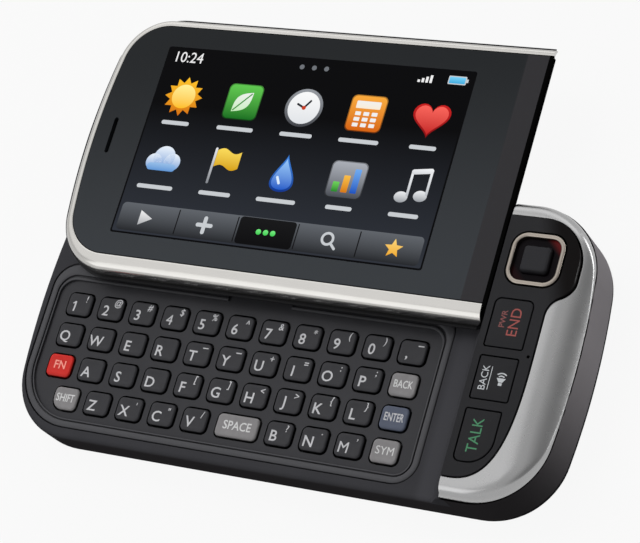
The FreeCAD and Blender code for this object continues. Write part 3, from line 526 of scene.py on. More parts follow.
FINISHES.update({"band_grey": band_finish(), "panel_charcoal": keyboard_finish(), "bright_trim": trim_finish(),
                 "gloss_black": end_panel_finish(), "window_black": window_finish()})
print(len(FINISHES), "finishes with the zoned ones")

# %% [markdown]
# ## Finishes on the carried solids
#
# Each carried solid names a slot of the record, and the slot names its finish here. Solids that a new piece
# stands for get theirs too, which costs nothing and keeps them presentable.

# %% Dress the solids
INK = (0.56, 0.56, 0.58)
KEY_COLOURS = {  # slot: cap, print
    "key_charcoal": ((0.034, 0.034, 0.038), INK), "key_grey": ((0.225, 0.218, 0.222), (0.64, 0.64, 0.64)),
    "key_blue": ((0.085, 0.099, 0.140), INK), "key_orange": ((0.58, 0.024, 0.018), (0.90, 0.34, 0.28)),
    "nav_black": ((0.01, 0.01, 0.01), INK)}
slot_of = {row["node"]: row["material_slot"] for row in frame["record"]["subparts"]}


def key_finish(slot, colour, print_colour):
    """A satin cap whose sides are painted near black as shade in its opening; its printed letters are told from
    it by the tint on the points.
    """
    finish = Finish(slot + "_cap", colour, 0.3, specular=0.14)
    worn = finish.noise(1.2, 3.0)
    # painted shade: below its top round, the cap's sides go near black
    sides = 1 - finish.along(2).step(CAP_TOP - 0.42, CAP_TOP - 0.26)
    cap = finish.mix(finish.mix(times(colour, 0.9), times(colour, 1.12), worn), times(colour, 0.12), sides)
    finish.link("Base Color", finish.mix(cap, print_colour, finish.tint()))
    finish.link("Roughness", 0.27 + worn * 0.1)
    finish.bump(0.2, 0.003)
    return finish


FINISHES.update({slot: key_finish(slot, *colours) for slot, colours in KEY_COLOURS.items()})
for node, thing in frame["nodes"].items():
    thing.data.materials.clear()
    thing.data.materials.append(FINISHES[slot_of[node]].material)
print("finishes on", len(frame["nodes"]), "solids")

# %% [markdown]
# ## Words
#
# Letters start as a text curve, which Blender fills and gives a thickness. The mesh made from it is read back
# as arrays, so it can be turned, squeezed and laid on a curved cap like any other points.

# %% Text as points and faces
SLICE = 0.16  # of a letter's em
CAPITAL = 0.70  # height of a capital, of its em
INK_T = 0.03  # letters reach this far into their cap, which hides their underside
INK_LIFT = 0.012
FOLDS = set("M4")  # bolder, an M folds over itself and a 4 fills its hole


def sliced(mesh):
    """Cuts flat letters along a square grid, so that they can follow a curved top."""
    form = bmesh.new()
    form.from_mesh(mesh)
    bmesh.ops.remove_doubles(form, verts=form.verts, dist=1e-5)
    for axis in (0, 1):
        spread = [vertex.co[axis] for vertex in form.verts]
        for cut in np.arange(min(spread) + SLICE, max(spread), SLICE):
            normal = [float(k == axis) for k in range(3)]
            every = form.verts[:] + form.edges[:] + form.faces[:]
            bmesh.ops.bisect_plane(form, geom=every, plane_co=[cut * n for n in normal], plane_no=normal)
    form.to_mesh(mesh)
    form.free()


def mesh_arrays(curve, cut=None):
    """A curve as points and groups of faces, cut if asked. The curve's mesh is removed."""
    holder = bpy.data.objects.new("holder", curve)
    bpy.context.scene.collection.objects.link(holder)
    mesh = bpy.data.meshes.new_from_object(holder)
    if cut:
        cut(mesh)
    points = np.zeros(len(mesh.vertices) * 3)
    mesh.vertices.foreach_get("co", points)
    starts, totals, corners = (np.zeros(n, int) for n in [len(mesh.polygons)] * 2 + [len(mesh.loops)])
    mesh.polygons.foreach_get("loop_start", starts)
    mesh.polygons.foreach_get("loop_total", totals)
    mesh.loops.foreach_get("vertex_index", corners)
    groups = [corners[starts[totals == n][:, None] + np.arange(n)] for n in np.unique(totals)]
    bpy.data.objects.remove(holder)
    bpy.data.meshes.remove(mesh)
    return points.reshape(-1, 3), groups


def words(text, height, x, y, squeeze=1.0, turn=0.0, bold=0.012, slant=0.0):
    """Filled letters of a given capital height about (x, y), INK_T thick about z = 0. slant leans them."""
    curve = bpy.data.curves.new("words", "FONT")
    curve.body, curve.align_x, curve.align_y = text, "CENTER", "CENTER"
    curve.extrude, curve.resolution_u, curve.offset = 0.5, 3, 0 if FOLDS & set(text) else bold
    points, groups = mesh_arrays(curve, cut=sliced)
    flat = points[:, :2] - (points[:, :2].max(0) + points[:, :2].min(0)) / 2
    flat = flat * height / CAPITAL * (squeeze, 1)
    flat[:, 0] += slant * flat[:, 1]
    return np.column_stack([spun(flat, turn, x, y), points[:, 2] * INK_T]), groups


print("the letter A has", len(words("A", 2.0, 0, 0)[0]), "points")

# %% [markdown]
# ## Keycaps
#
# A cap stands in its opening on a flange that keeps it in, with a stem down to its switch. Its sides go
# straight up and turn over in a round that is broader in front. The top is dished for the thumb by two
# tenths of a millimetre: z = edge - dish * (1 - (x/a)^2) * (1 - (y/b)^2). The dish catches the soft light
# that makes a cap look moulded. The letters are laid on the same formula, so they never float or sink.

# %% One keycap
FIRST_X, PITCH_X = -47.29, 7.06
ROW_Y = (-1.2, -7.43, -13.66, -19.89)
KEY_HALF_W = 2.525
SINGLE_HALF_L, SPACE_HALF_L = 2.975, 4.65
CAP_CORNER, SHIFT_CORNER = 1.3, 2.6
DISH = 0.22
CAP_ROUND, CAP_LEAN = 0.42, 0.14
STEM_FOOT, STEM_HALF, STEM_R = 7.42, 1.1, 0.1
FLANGE_Z, FLANGE_OUT = (7.75, 8.15), 0.3
KEY_GAP = 0.34


def opening(column, row, half_l, corner):
    """Middle, edges and corner radii of a key's opening. Only its front left corner may differ."""
    x, y = FIRST_X + PITCH_X * column, ROW_Y[row]
    return x, y, about(x, y, half_l, KEY_HALF_W), (corner,) + (CAP_CORNER,) * 3


def dished(x, y, half_l):
    """Height of a cap's top at (x, y) from its middle, less its edge's."""
    a, b = half_l - KEY_GAP - CAP_ROUND, KEY_HALF_W - KEY_GAP - CAP_ROUND
    return -DISH * np.clip(1 - (x / a) ** 2, 0, 1) * np.clip(1 - (y / b) ** 2, 0, 1)


def keycap(column, row, half_l, corner):
    """A cap with flange and stem, as a stack of outlines."""
    x, y, edges, radii = opening(column, row, half_l, corner)
    stem = divided(rounded(*about(x, y, STEM_HALF, STEM_HALF), STEM_R))
    levels = footed(stem, divided(shrunk(*edges, radii, -FLANGE_OUT)), STEM_FOOT, *FLANGE_Z)
    levels.append(at_height(divided(shrunk(*edges, radii, KEY_GAP)), FLANGE_Z[1]))
    for over, down in quarter_turn(6):
        loop = divided(shrunk(*edges, radii, KEY_GAP + CAP_ROUND * over)) + (0, CAP_LEAN * over)
        levels.append(at_height(loop, CAP_TOP - CAP_ROUND * down))
    rim = loop - (x, y)
    for share in (0.86, 0.7, 0.5, 0.25):
        loop = rim * share
        levels.append(at_height(loop + (x, y), CAP_TOP + dished(loop[:, 0], loop[:, 1], half_l)))
    return stacked(levels)


def dressed_cap(column, row, half_l, corner, signs):
    """Cap and signs as one shape, with 0 on the cap's points and 1 on the signs' for the print."""
    shapes = [keycap(column, row, half_l, corner)]
    x, y = opening(column, row, half_l, corner)[:2]
    for points, groups in signs:
        moved = points + (x, y, 0)
        lift = CAP_TOP + dished(moved[:, 0] - x, moved[:, 1] - y, half_l) + INK_LIFT
        shapes.append((moved + np.column_stack([np.zeros((len(moved), 2)), lift]), groups))
    ink = [np.full(len(points), float(k > 0)) for k, (points, _) in enumerate(shapes)]
    return together(shapes), np.concatenate(ink)[:, None]


print("a cap has", len(keycap(0, 0, SINGLE_HALF_L, CAP_CORNER)[0]), "points")

# %% [markdown]
# ## The keyboard's lettering
#
# A letter or number stands low on the left of each cap and its second sign small on the upper right. The
# grey, blue and red keys carry a short word in the middle. All of it is what any such keyboard says.

# %% Lay out the keys
MAIN_X, MAIN_Y, COMMA_Y, MAIN_H = -0.95, -0.45, -1.2, 2.05
SECOND_X, SECOND_H = 1.45, 1.25
SECOND = dict(zip("tyuiopfghjklxcvbnm", "__+=:;[]<>{}'\"/?.,"))


def lettered(main, second=""):
    """The two signs of a cap, about its middle. The 1 gets a flag, and the low line is a stroke of its own."""
    strokes = {"1": (-1.2, 0.28, 0.72, 0.24, 38), "_": (SECOND_X, 1.25, 1.2, 0.2, 0)}
    signs = [words(main, MAIN_H, MAIN_X, COMMA_Y if main == "," else MAIN_Y, squeeze=0.95, bold=0.01)]
    signs += [flat_form(bar(*strokes[sign]), -INK_T / 2, INK_T / 2)
              for sign in (main, second) if sign in strokes]
    if second and second != "_":
        signs.append(words(second, SECOND_H, SECOND_X, 1.15, bold=0.008, slant=0.2))
    return signs


KEYS = {}  # node: column, row, half length, front left corner's radius, signs about the middle
for row, first, letters in ((1, 0, "qwertyuiop"), (2, 1, "asdfghjkl"), (3, 1.5, "zxcv"), (3, 7, "bnm")):
    for k, letter in enumerate(letters):
        signs = lettered(letter.upper(), SECOND.get(letter, ""))
        KEYS["key_" + letter] = (first + k, row, SINGLE_HALF_L, CAP_CORNER, signs)
for name, column, row, half_l, corner, text, height, squeeze in (
        ("erase", 10, 1, SINGLE_HALF_L, CAP_CORNER, "BACK", 1.4, 0.72),
        ("fn", 0, 2, SINGLE_HALF_L, CAP_CORNER, "FN", 1.6, 0.95),
        ("enter", 10, 2, SINGLE_HALF_L, CAP_CORNER, "ENTER", 1.5, 0.6),
        ("shift", 0.5, 3, SINGLE_HALF_L, SHIFT_CORNER, "SHIFT", 1.5, 0.74),
        ("space", 5.77, 3, SPACE_HALF_L, CAP_CORNER, "SPACE", 1.6, 0.9),
        ("sym", 10, 3, SINGLE_HALF_L, CAP_CORNER, "SYM", 1.5, 0.95)):
    KEYS["key_" + name] = (column, row, half_l, corner, [words(text, height, 0.0, 0.15, squeeze)])
NUMBER_ROW = [(k, 0, SINGLE_HALF_L, CAP_CORNER, lettered(main, second))
              for k, (main, second) in enumerate(zip("1234567890,", "!@#$%^&*()_"))]
print(len(KEYS), "keys and a row of", len(NUMBER_ROW))

# %% Make the keys
for node, key in KEYS.items():
    shape, ink = dressed_cap(*key)
    make_piece("cap_" + node[4:], shape, node, slot_of[node], (node,), ink)
shapes, inks = zip(*(dressed_cap(*key) for key in NUMBER_ROW))
make_piece("number_caps", together(shapes), "number_keys", "key_charcoal", ("number_keys",),
           np.concatenate(inks))

# %% [markdown]
# ## The silver crescent
#
# A moulded cover, sprayed silver, wraps the end panel. It is a sheet between two outlines: the panel's edge
# inside and the rim outside. The height of a point is the lower of two rolls. One runs down along the phone
# towards its end, the other follows the rim all round; where they meet they are blended, so no crease shows.
# The inner edge has a small lip that catches a thin line of light.

# %% The crescent's two outlines
HALF_L, HALF_W = 55.89, 27.6
NOSE_X, WAIST_X, NOSE_R = HALF_L - 3.15, HALF_L - 7.15, 8.0
PANEL_HALF_W = HALF_W - 3.5
STEP_Y = (13.5, 6.5)
COVER_GAP = 0.1  # between the panel and the crescent
RUN = 240


def bowed_end(half_w, r, bow_r):
    """Corners of radius r that meet a bow of radius R: their middles' distance along the phone from the bow's,
    sqrt((R - r)^2 - (w - r)^2), and the lean in degrees where they meet, asin((w - r) / (R - r))."""
    reach = math.sqrt((bow_r - r) ** 2 - (half_w - r) ** 2)
    return reach, math.degrees(math.asin((half_w - r) / (bow_r - r)))


def panel_edge():
    """The end panel's edge from its back left corner round the nose, down the step and the long front curve."""
    grow, fall, side = COVER_GAP, STEP_Y[0] - STEP_Y[1], PANEL_HALF_W + COVER_GAP
    turn = 2 * math.degrees(math.atan2(NOSE_X - WAIST_X, fall))
    step_r = fall / 2 / math.sin(math.radians(turn))
    nose = arc(NOSE_X - NOSE_R, PANEL_HALF_W - NOSE_R, NOSE_R + grow, 90, 0)
    down = arc(NOSE_X - step_r, STEP_Y[0], step_r + grow, 0, -turn)
    up = arc(WAIST_X + step_r, STEP_Y[1], step_r - grow, 180 - turn, 180)
    start, end = np.array([WAIST_X + grow, -2.0]), np.array([END_X + 1.5, -side])
    t = np.linspace(0, 1, 60)[:, None]
    pull_a, pull_b = start - (0, 13.5), end + (7.6, 0)
    sweep = (1 - t) ** 3 * start + 3 * t * (1 - t) ** 2 * pull_a + 3 * t * t * (1 - t) * pull_b + t ** 3 * end
    return np.concatenate([[[END_X, side]], nose, down, up, sweep, [[END_X, -side]]])


def cover_rim():
    """The crescent's outer edge: straight back, round corner, bowed end, round corner, straight front."""
    half_w, r, bow_r = HALF_W - 0.55, 12.95, 150.0
    reach, lean = bowed_end(half_w, r, bow_r)
    bow_x = HALF_L - 0.15 - bow_r
    corner_x, corner_y = bow_x + reach, half_w - r
    corners = arc(corner_x, corner_y, r, 90, lean, 60), arc(corner_x, -corner_y, r, -lean, -90, 60)
    bow = arc(bow_x, 0, bow_r, lean, -lean, 60)
    line = np.concatenate([[[END_X, half_w]], corners[0], bow[1:-1], corners[1], [[END_X, -half_w]]])
    line[:, 1] -= np.where(line[:, 1] < 0, 0.25, -0.05) * np.abs(line[:, 1]) / half_w
    return line


inner, rim = evenly(panel_edge(), RUN), evenly(cover_rim(), RUN)
print("crescent:", round(float(np.abs(rim - inner).max()), 1), "mm at its widest")

# %% Its height and its closed section
CREST_X = HALF_L - 7.05
COVER_FOOT = 13.4
RIM_Z = COVER_FOOT + 0.3
SIDE_ROLL, BLEND, LIP_R = 2.6, 0.9, 0.28
UNDERCUT_Z = 15.4  # below this the ends of ribbons lean back, clear of what slides past


def nearest(points, line):
    """Distance from each point to the nearest point of a finely divided line."""
    fine = evenly(line, 1500)
    return np.sqrt(((points[:, None, :] - fine[None]) ** 2).sum(-1).min(1))


def quarter(distance, r):
    """How far a quarter round of radius r has dropped at d from its edge: r - sqrt(r^2 - (r - d)^2)."""
    inside = np.clip(r - distance, 0, r)
    return r - np.sqrt(r * r - inside ** 2)


def soft_larger(a, b, width):
    """The larger of two, blended where they differ by less than w, the width: max + (w - |a - b|)^2 / 4w."""
    near = np.clip(width - np.abs(a - b), 0, None)
    return np.maximum(a, b) + near ** 2 / (4 * width)


def cover_height(points):
    """FACE_Z less the soft larger of the roll to the end and the roll round the rim, less the inner lip."""
    run, drop, lean = HALF_L - 0.4 - CREST_X, FACE_Z - RIM_Z, math.radians(4.0)
    r = math.hypot(run, drop) / 2 / math.sin(math.atan2(drop, run) - lean)
    past = np.clip(points[:, 0] - CREST_X, 0, None) + r * math.sin(lean)
    to_end = np.where(points[:, 0] > CREST_X, r * math.cos(lean) - np.sqrt(r * r - past ** 2), 0)
    round_rim = quarter(nearest(points, cover_rim()), SIDE_ROLL)
    return FACE_Z - soft_larger(to_end, round_rim, BLEND) - quarter(nearest(points, panel_edge()), LIP_R)


def ended_ribbon(levels, ends, slope):
    """A closed ribbon whose two ends stop at the given x, and lean back by a slope below UNDERCUT_Z."""
    section = np.array(levels)
    for tail, x in zip((0, -1), ends):
        section[:, tail, 0] = x - slope * np.clip(UNDERCUT_Z - section[:, tail, 2], 0, None)
    return closed_ribbon(section)


def crescent():
    """Section points across the sheet, then down the rim, back under it and up the inside, closed round."""
    lip, sheet = np.linspace(0, 0.06, 6)[:-1], np.linspace(0.06, 0.94, 26)
    across = np.concatenate([lip, sheet, [0.96, 0.98, 0.995, 1.0]])
    flat = inner[None] * (1 - across[:, None, None]) + rim[None] * across[:, None, None]
    top = [at_height(line, cover_height(line)) for line in flat]
    under = [at_height(line, COVER_FOOT) for line in (rim, (rim + inner) / 2, inner)]
    return ended_ribbon(top + under, (END_X, END_X), 0.4)


make_piece("silver_crescent", crescent(), "base", "silver_cover", ("end_cover",))

# %% [markdown]
# ## The keyboard panel
#
# The panel is a floor with one opening per key inside a raised bead. The bead's section has a soft crown, a
# groove and a narrow ridge. A filled curve makes the floor: Blender takes the outer loop, leaves the inner
# loops open and gives it a thickness. The bead is a loop of section points carried round, from the outer
# outline (share 0) to the well's outline (share 1).

# %% A plate with holes
def filled(loops, z0, z1):
    """The area inside the first loop and outside the others, from z0 to z1, filled as a flat curve."""
    curve = bpy.data.curves.new("plate", "CURVE")
    curve.dimensions, curve.fill_mode, curve.extrude = "2D", "BOTH", (z1 - z0) / 2
    for loop in loops:
        spline = curve.splines.new("POLY")
        spline.points.add(len(loop) - 1)
        flat = np.column_stack([loop, np.zeros(len(loop)), np.ones(len(loop))])
        spline.points.foreach_set("co", flat.ravel())
        spline.use_cyclic_u = True
    return raised(mesh_arrays(curve), (z0 + z1) / 2)


print("a plate with one hole has", len(filled([arc(0, 0, 2, 0, 300), arc(0, 0, 1, 0, 300)], 0, 1)[0]), "points")

# %% The panel
PANEL, PANEL_RADII = (-54.39, 30.6, -25.6, 6.93), (12.0, 4.8, 4.0, 5.0)
WELL, WELL_RADII = (PANEL[0] + 1.95, PANEL[1] - 1.95, PANEL[2] + 1.9, PANEL[3] - 3.3), (10.05, 2.85, 3.2, 3.2)
PANEL_FOOT, PANEL_FLOOR = 8.3, 9.3
NOTCH_X, NOTCH_DEPTH = (-2.69, -16.09), 1.7
BEAD = ((0.0, 9.2), (0.0, 9.72), (0.05, 9.88), (0.13, 9.96), (0.3, 10.02), (0.48, 10.02), (0.62, 9.96),
        (0.68, 9.86), (0.7, 9.5), (0.82, 9.5), (0.84, 9.8), (0.88, 9.86), (0.97, 9.86), (1.0, 9.8), (1.0, 9.2))


def with_notch(loop, depth):
    """Four more points on the back side, between its two corners, stepped outwards by depth."""
    half = 3 * len(loop) // 4
    back, (x1, x0) = loop[half, 1], NOTCH_X
    step = [[x1, back], [x1, back + depth], [x0, back + depth], [x0, back]]
    return np.concatenate([loop[:half], step, loop[half:]])


def keyboard_panel():
    """The bead round the plate, which has an opening for every key."""
    outer = with_notch(shrunk(*PANEL, PANEL_RADII, 0.2, 20), 0.0)
    well = with_notch(rounded(*WELL, WELL_RADII, 20), NOTCH_DEPTH)
    bead = ring([at_height(outer + (well - outer) * share, z) for share, z in BEAD])
    openings = [opening(*key[:4]) for key in [*KEYS.values(), *NUMBER_ROW]]
    holes = [rounded(*edges, radii) for _, _, edges, radii in openings]
    return together([bead, filled([shrunk(*PANEL, PANEL_RADII, 0.25, 20)] + holes, PANEL_FOOT, PANEL_FLOOR)])


make_piece("keyboard_panel", keyboard_panel(), "base", "panel_charcoal", ("keyboard_bezel",))

# %% [markdown]
# ## The bright band
#
# A band of plated metal frames the touch window, with a narrow dark gap between them. It rolls over from the
# window down to the shell, and it is broad along the front and narrow round the left end and the back. Its
# section is a quarter of a squared ellipse, width * (sin t)^p out and drop * (1 - (cos t)^p) down with p
# under 1, so that it stays flat longer and then rolls over. Width and drop follow the direction in which the
# outline faces. The black shell comes up outside it round the left end.

# %% The bright band's outline
SCREEN_Y = 31.2
SHELL_LEFT, SHELL_RIGHT, SHELL_HALF_W = -54.09, 37.8, 27.1
BAND_END = (37.75, 37.1)  # at the back and the front
BAND_WIDTH = (1.48, 1.5, 3.12)  # this and the next two: at the back, the left end and the front
BAND_DROP = (2.2, 2.2, 3.1)
RIM_TOP = (13.6, 15.9, 13.1)


def window_edge():
    """The window's outline from its back right end round the left end to its front right end."""
    half_w, r, bow_r = SHELL_HALF_W - 3.15, 8.5, 130.0
    reach, lean = bowed_end(half_w, r, bow_r)
    bow_x = SHELL_LEFT + 2.7 + bow_r
    corner_x, corner_y = bow_x - reach, half_w - r
    back = np.column_stack([np.linspace(BAND_END[0], corner_x, 30)[:-1], np.full(29, half_w)])
    front = np.column_stack([np.linspace(corner_x, BAND_END[1], 30)[1:], np.full(29, -half_w)])
    parts = [back, arc(corner_x, corner_y, r, 90, 180 - lean, 40)[:-1],
             arc(bow_x, 0, bow_r, 180 - lean, 180 + lean, 24)[:-1],
             arc(corner_x, -corner_y, r, 180 + lean, 270, 40), front]
    return np.concatenate(parts) + (0, SCREEN_Y)


def outwards(line):
    """Unit vectors square to a run of points, on its right side."""
    along = np.gradient(line, axis=0)
    along = along / np.linalg.norm(along, axis=1)[:, None]
    return np.column_stack([along[:, 1], -along[:, 0]])


edge = window_edge()
out = outwards(edge)
facing = np.degrees(np.arctan2(out[:, 1], out[:, 0])) % 360
band_width, band_drop, rim_top = (np.interp(facing, (90, 180, 270), value)
                                  for value in (BAND_WIDTH, BAND_DROP, RIM_TOP))
print("the band is from", band_width.min(), "to", band_width.max(), "mm wide")

# %% Make the band
WINDOW_GAP = 0.13
SQUARED = 0.71
EDGE_R, EDGE_LEAN = 0.6, 60
# how far beyond the band, and how far below the rim's top
RIM = ((-0.25, 0.0), (0.2, 0.0), (0.38, 0.06), (0.48, 0.18), (0.52, 0.4))


def screen_band():
    """A lip, the quarter of a squared ellipse, the wall down to the shell, and back inside."""
    start = edge + out * WINDOW_GAP
    levels = [at_height(start, SHOULDER_Z), at_height(start, FACE_Z - 0.6)]
    lip = EDGE_R * math.cos(math.radians(EDGE_LEAN))
    for t in np.radians(np.linspace(EDGE_LEAN, 90, 5)):
        reach, fall = lip - EDGE_R * math.cos(t), EDGE_R * (1 - math.sin(t))
        levels.append(at_height(start + out * reach, FACE_Z - fall))
    for t in np.radians(np.linspace(4, 90, 28)):
        reach = lip + (band_width - lip) * math.sin(t) ** SQUARED
        fall = band_drop * (1 - max(math.cos(t), 0) ** SQUARED)
        levels.append(at_height(start + out * reach[:, None], FACE_Z - fall))
    levels.append(at_height(start + out * band_width[:, None], SHOULDER_Z))
    return ended_ribbon(levels, BAND_END, 0.65)


def shell_rim():
    """Black upstand outside the band, highest round the left end, level with the shell at the right ends."""
    heights = [(beyond, np.maximum(rim_top - below, SHOULDER_Z - 0.15)) for beyond, below in RIM]
    foot = SHOULDER_Z - 0.2
    levels = [at_height(edge + out * (WINDOW_GAP + band_width + beyond)[:, None], z)
              for beyond, z in [(RIM[0][0], foot), *heights, (RIM[-1][0], foot)]]
    return ended_ribbon(levels, BAND_END, 0.65)


make_piece("screen_band", screen_band(), "screen_half", "bright_trim", ("slider_trim",))
make_piece("shell_rim", shell_rim(), "screen_half", "shell_black")
strip = rounded(SHELL_RIGHT - 0.72, SHELL_RIGHT - 0.02, SCREEN_Y - 24.6, SCREEN_Y + 23.9, 0.05)
make_piece("end_strip", flat_form(strip, 15.5, FACE_Z + 0.015), "screen_half", "bright_trim",
           finish=Finish("end_strip_black", (0.002, 0.002, 0.002), 0.5, specular=0.0))

# %% [markdown]
# ## The navigation key
#
# Inside the bright ring lies a glossy well with a raised square. Red light leaks from its far right corner, so
# the well's colour follows the diagonal: dark red where x + y is well past the middle's, black elsewhere.

# %% Navigation ring and key
NAV_X, NAV_Y = NAV = (44.7, 16.35)
RING_R, RING_W, RING_FOOT = 2.8, 0.76, 15.4
SKIRT_Z, NAV_TOP = FACE_Z - 0.7, FACE_Z + 0.5
BLOCK = (*about(*NAV, 2.75, 2.65), 0.9)


def nav_rim():
    """A half-round wire bent to a rounded square: out = w/2 cos t, up = 0.22 sin t, on straight walls."""
    arch = [(RING_W / 2 * (1 - math.cos(t)), FACE_Z + 0.02 + 0.22 * math.sin(t))
            for t in np.radians(np.linspace(0, 180, 13))]
    square = (*about(*NAV, 4.98, 4.83), RING_R)
    profile = [(0, RING_FOOT), *arch, (RING_W, RING_FOOT)]
    return ring([at_height(shrunk(*square, inset, 16), z) for inset, z in profile])


def nav_key():
    """Stem, flat skirt inside the ring, then a square block with sloping sides and a slightly dished top."""
    skirt, stem = (*about(*NAV, 4.3, 4.15), 2.05), rounded(*about(*NAV, 1, 1), STEM_R)
    levels = footed(stem, shrunk(*skirt, 0), 11.45, SKIRT_Z - 0.4, SKIRT_Z - 0.15)
    levels.append(at_height(shrunk(*skirt, 0.15), SKIRT_Z))
    for inset, z in ((0, SKIRT_Z), (0.05, SKIRT_Z + 0.3), (0.4, NAV_TOP - 0.14), (0.48, NAV_TOP - 0.04),
                     (0.58, NAV_TOP)):
        block = shrunk(*BLOCK, inset)
        levels.append(at_height(block, z))
    middle = np.array(NAV)
    levels += [at_height(middle + (block - middle) * k, NAV_TOP - 0.06 * (1 - k)) for k in (0.8, 0.5, 0.2)]
    return stacked(levels)


def nav_finish():
    """Black well, charcoal block, and red where the light leaks at a corner of the well."""
    finish = Finish("nav_gloss", (0.012, 0.012, 0.013), 0.16, specular=0.05)
    x, y, z = (finish.along(axis) for axis in range(3))
    across, level = (x - NAV_X) + (y - NAV_Y), z.step(FACE_Z - 0.75, FACE_Z - 0.5)
    glow = (across * across).step(22.0, 46.0) * (1 - level) * across.step(-9.0, 5.0)
    block = finish.mix((0.002, 0.001, 0.002), (0.026, 0.026, 0.029), z.step(FACE_Z - 0.6, FACE_Z + 0.35))
    finish.link("Base Color", finish.mix(block, (0.07, 0.004, 0.004), glow))
    finish.link("Roughness", 0.3 - glow * 0.1)
    finish.link("Emission Color", finish.mix((0, 0, 0), (0.04, 0.002, 0.0025), glow))
    finish.plain({"Emission Strength": 1.0})
    return finish


FINISHES["nav_black"] = nav_finish()
make_piece("nav_square", nav_key(), "nav_key", "nav_black", ("nav_key",))
make_piece("nav_rim", nav_rim(), "base", "bright_ring", ("nav_ring",))

# %% [markdown]
# ## Call keys
#
# The three flush keys carry their words up the phone: red to end, white to go back, green to talk. The
# middle one has a rule and a small loudspeaker beside its word. Letters are inlaid, and stand a few
# hundredths of a millimetre proud.

# %% The three caps
CALL_RADII = {"end_key": (0.5, 0.5, 1.3, 1.3), "back_key": 0.5, "talk_key": (1.3, 4.5, 0.5, 0.5)}
CALL_GAP, CALL_ROUND, CALL_FLANGE = 0.26, 0.12, 0.15
CALL_FLANGE_Z = (15.1, 15.5)


def call_key(node):
    """Flush cap with flange and stem, set out from the box of the solid it stands for."""
    low, high = (np.array(corner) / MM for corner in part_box(node))
    edges = (low[0] + CALL_FLANGE, high[0] - CALL_FLANGE, low[1] + CALL_FLANGE, high[1] - CALL_FLANGE)
    x, y, radii = (edges[0] + edges[1]) / 2, (edges[2] + edges[3]) / 2, CALL_RADII[node]
    stem = rounded(*about(x, y, 1, 1), STEM_R)
    levels = footed(stem, shrunk(*edges, radii, -CALL_FLANGE), low[2], *CALL_FLANGE_Z)
    levels.append(at_height(shrunk(*edges, radii, CALL_GAP), CALL_FLANGE_Z[1]))
    levels += [at_height(shrunk(*edges, radii, CALL_GAP + CALL_ROUND * over), FACE_Z - CALL_ROUND * down)
               for over, down in quarter_turn(5)]
    return stacked(levels)


for node in CALL_RADII:
    make_piece(node + "_cap", call_key(node), node, "gloss_black", (node,))

# %% Printed words on the call keys
INK_FOOT, INK_TOP = FACE_Z - INK_T, FACE_Z + INK_LIFT
WAVE_STEPS = 12


def ink_finish(name, colour, glow):
    """Printed or inlaid lettering, faintly lit from behind."""
    finish = surface(name, colour, 0.35, drift=0.05, depth=0.001)
    finish.plain({"Emission Color": (*colour, 1), "Emission Strength": glow})
    return finish


def sound_wave(x, y, r):
    """A bent stroke between two arcs, as a closed form."""
    outer, inside = (arc(x, y, r + half, 48, 132, WAVE_STEPS) for half in (0.11, -0.11))
    flat, last, k = np.concatenate([outer, inside[::-1]]), 2 * WAVE_STEPS - 1, np.arange(WAVE_STEPS - 1)
    quads = np.stack([k, k + 1, last - 1 - k, last - k], 1)
    here, following = round_trip(last + 1)
    walls = np.stack([here, here + last + 1, following + last + 1, following], 1)
    points = np.concatenate([at_height(flat, INK_TOP), at_height(flat, INK_FOOT)])
    return points, [quads, quads[:, ::-1] + last + 1, walls]


def loudspeaker_sign(x, y):
    """A small box, a widening horn and two bent waves; it looks towards +Y."""
    box = rounded(x - 0.35, x + 0.35, y - 1.25, y - 0.75, 0.08)
    horn = np.array([[x - 0.35, y - 0.65], [x + 0.35, y - 0.65], [x + 0.85, y + 0.1], [x - 0.85, y + 0.1]])
    solids = [flat_form(loop, INK_FOOT, INK_TOP) for loop in (box, horn)]
    return together(solids + [sound_wave(x, y - 0.25, r) for r in (0.75, 1.25)])


rule = flat_form(rounded(42.15, 42.27, -8.15, -3.9, 0.05), INK_FOOT, INK_TOP)
for name, node, ink, text, height, x, y, squeeze, bold, others in (
        ("end", "end_key", ("red_print", (0.25, 0.032, 0.024), 0.05),
         "END", 1.95, 43.9, 4.5, 0.95, 0.0, []),
        ("power", "end_key", ("dim_red_print", (0.16, 0.03, 0.028), 0.02),
         "PWR", 1.05, 41.75, 4.9, 1.0, 0.012, []),
        ("back", "back_key", ("white_print", (0.46, 0.48, 0.50), 0.03),
         "BACK", 1.3, 41.1, -6.0, 0.95, 0.0, [rule, loudspeaker_sign(44.3, -5.9)]),
        ("talk", "talk_key", ("green_print", (0.022, 0.18, 0.072), 0.05),
         "TALK", 2.0, 42.3, -16.4, 0.9, 0.0, [])):
    letters = raised(words(text, height, x, y, squeeze, turn=90, bold=bold), INK_TOP)
    make_piece(name + "_words", together([letters] + others), node, "gloss_black", finish=ink_finish(*ink))

# %% [markdown]
# ## The lit picture
#
# The display shows a menu of plain signs. It is drawn as a relief a few hundredths of a millimetre high: every
# shape is a closed prism, and those drawn later stand a little higher, so nothing flickers. Each point carries
# its colour, often paler at the top of a shape than at its foot, and the finish lets that colour glow.

# %% Shapes for the picture
SCREEN = LEFT, RIGHT_SIDE, FOOT, HEAD = (-41.2, 24.1, 11.67, 50.87)
LAYER = 0.005


def srgb(*values):
    """Screen colours from 0 to 255 as light: ((c + 0.055) / 1.055)^2.4."""
    c = np.array(values) / 255
    return np.where(c < 0.04, c / 12.92, ((c + 0.055) / 1.055) ** 2.4)


def disc(x, y, r, squash=1.0):
    t = np.linspace(0, 2 * math.pi, 36, endpoint=False)
    return np.column_stack([x + r * np.cos(t), y + squash * r * np.sin(t)])


def tile(x, y, half_w, half_h, r):
    return rounded(*about(x, y, half_w, half_h), r)


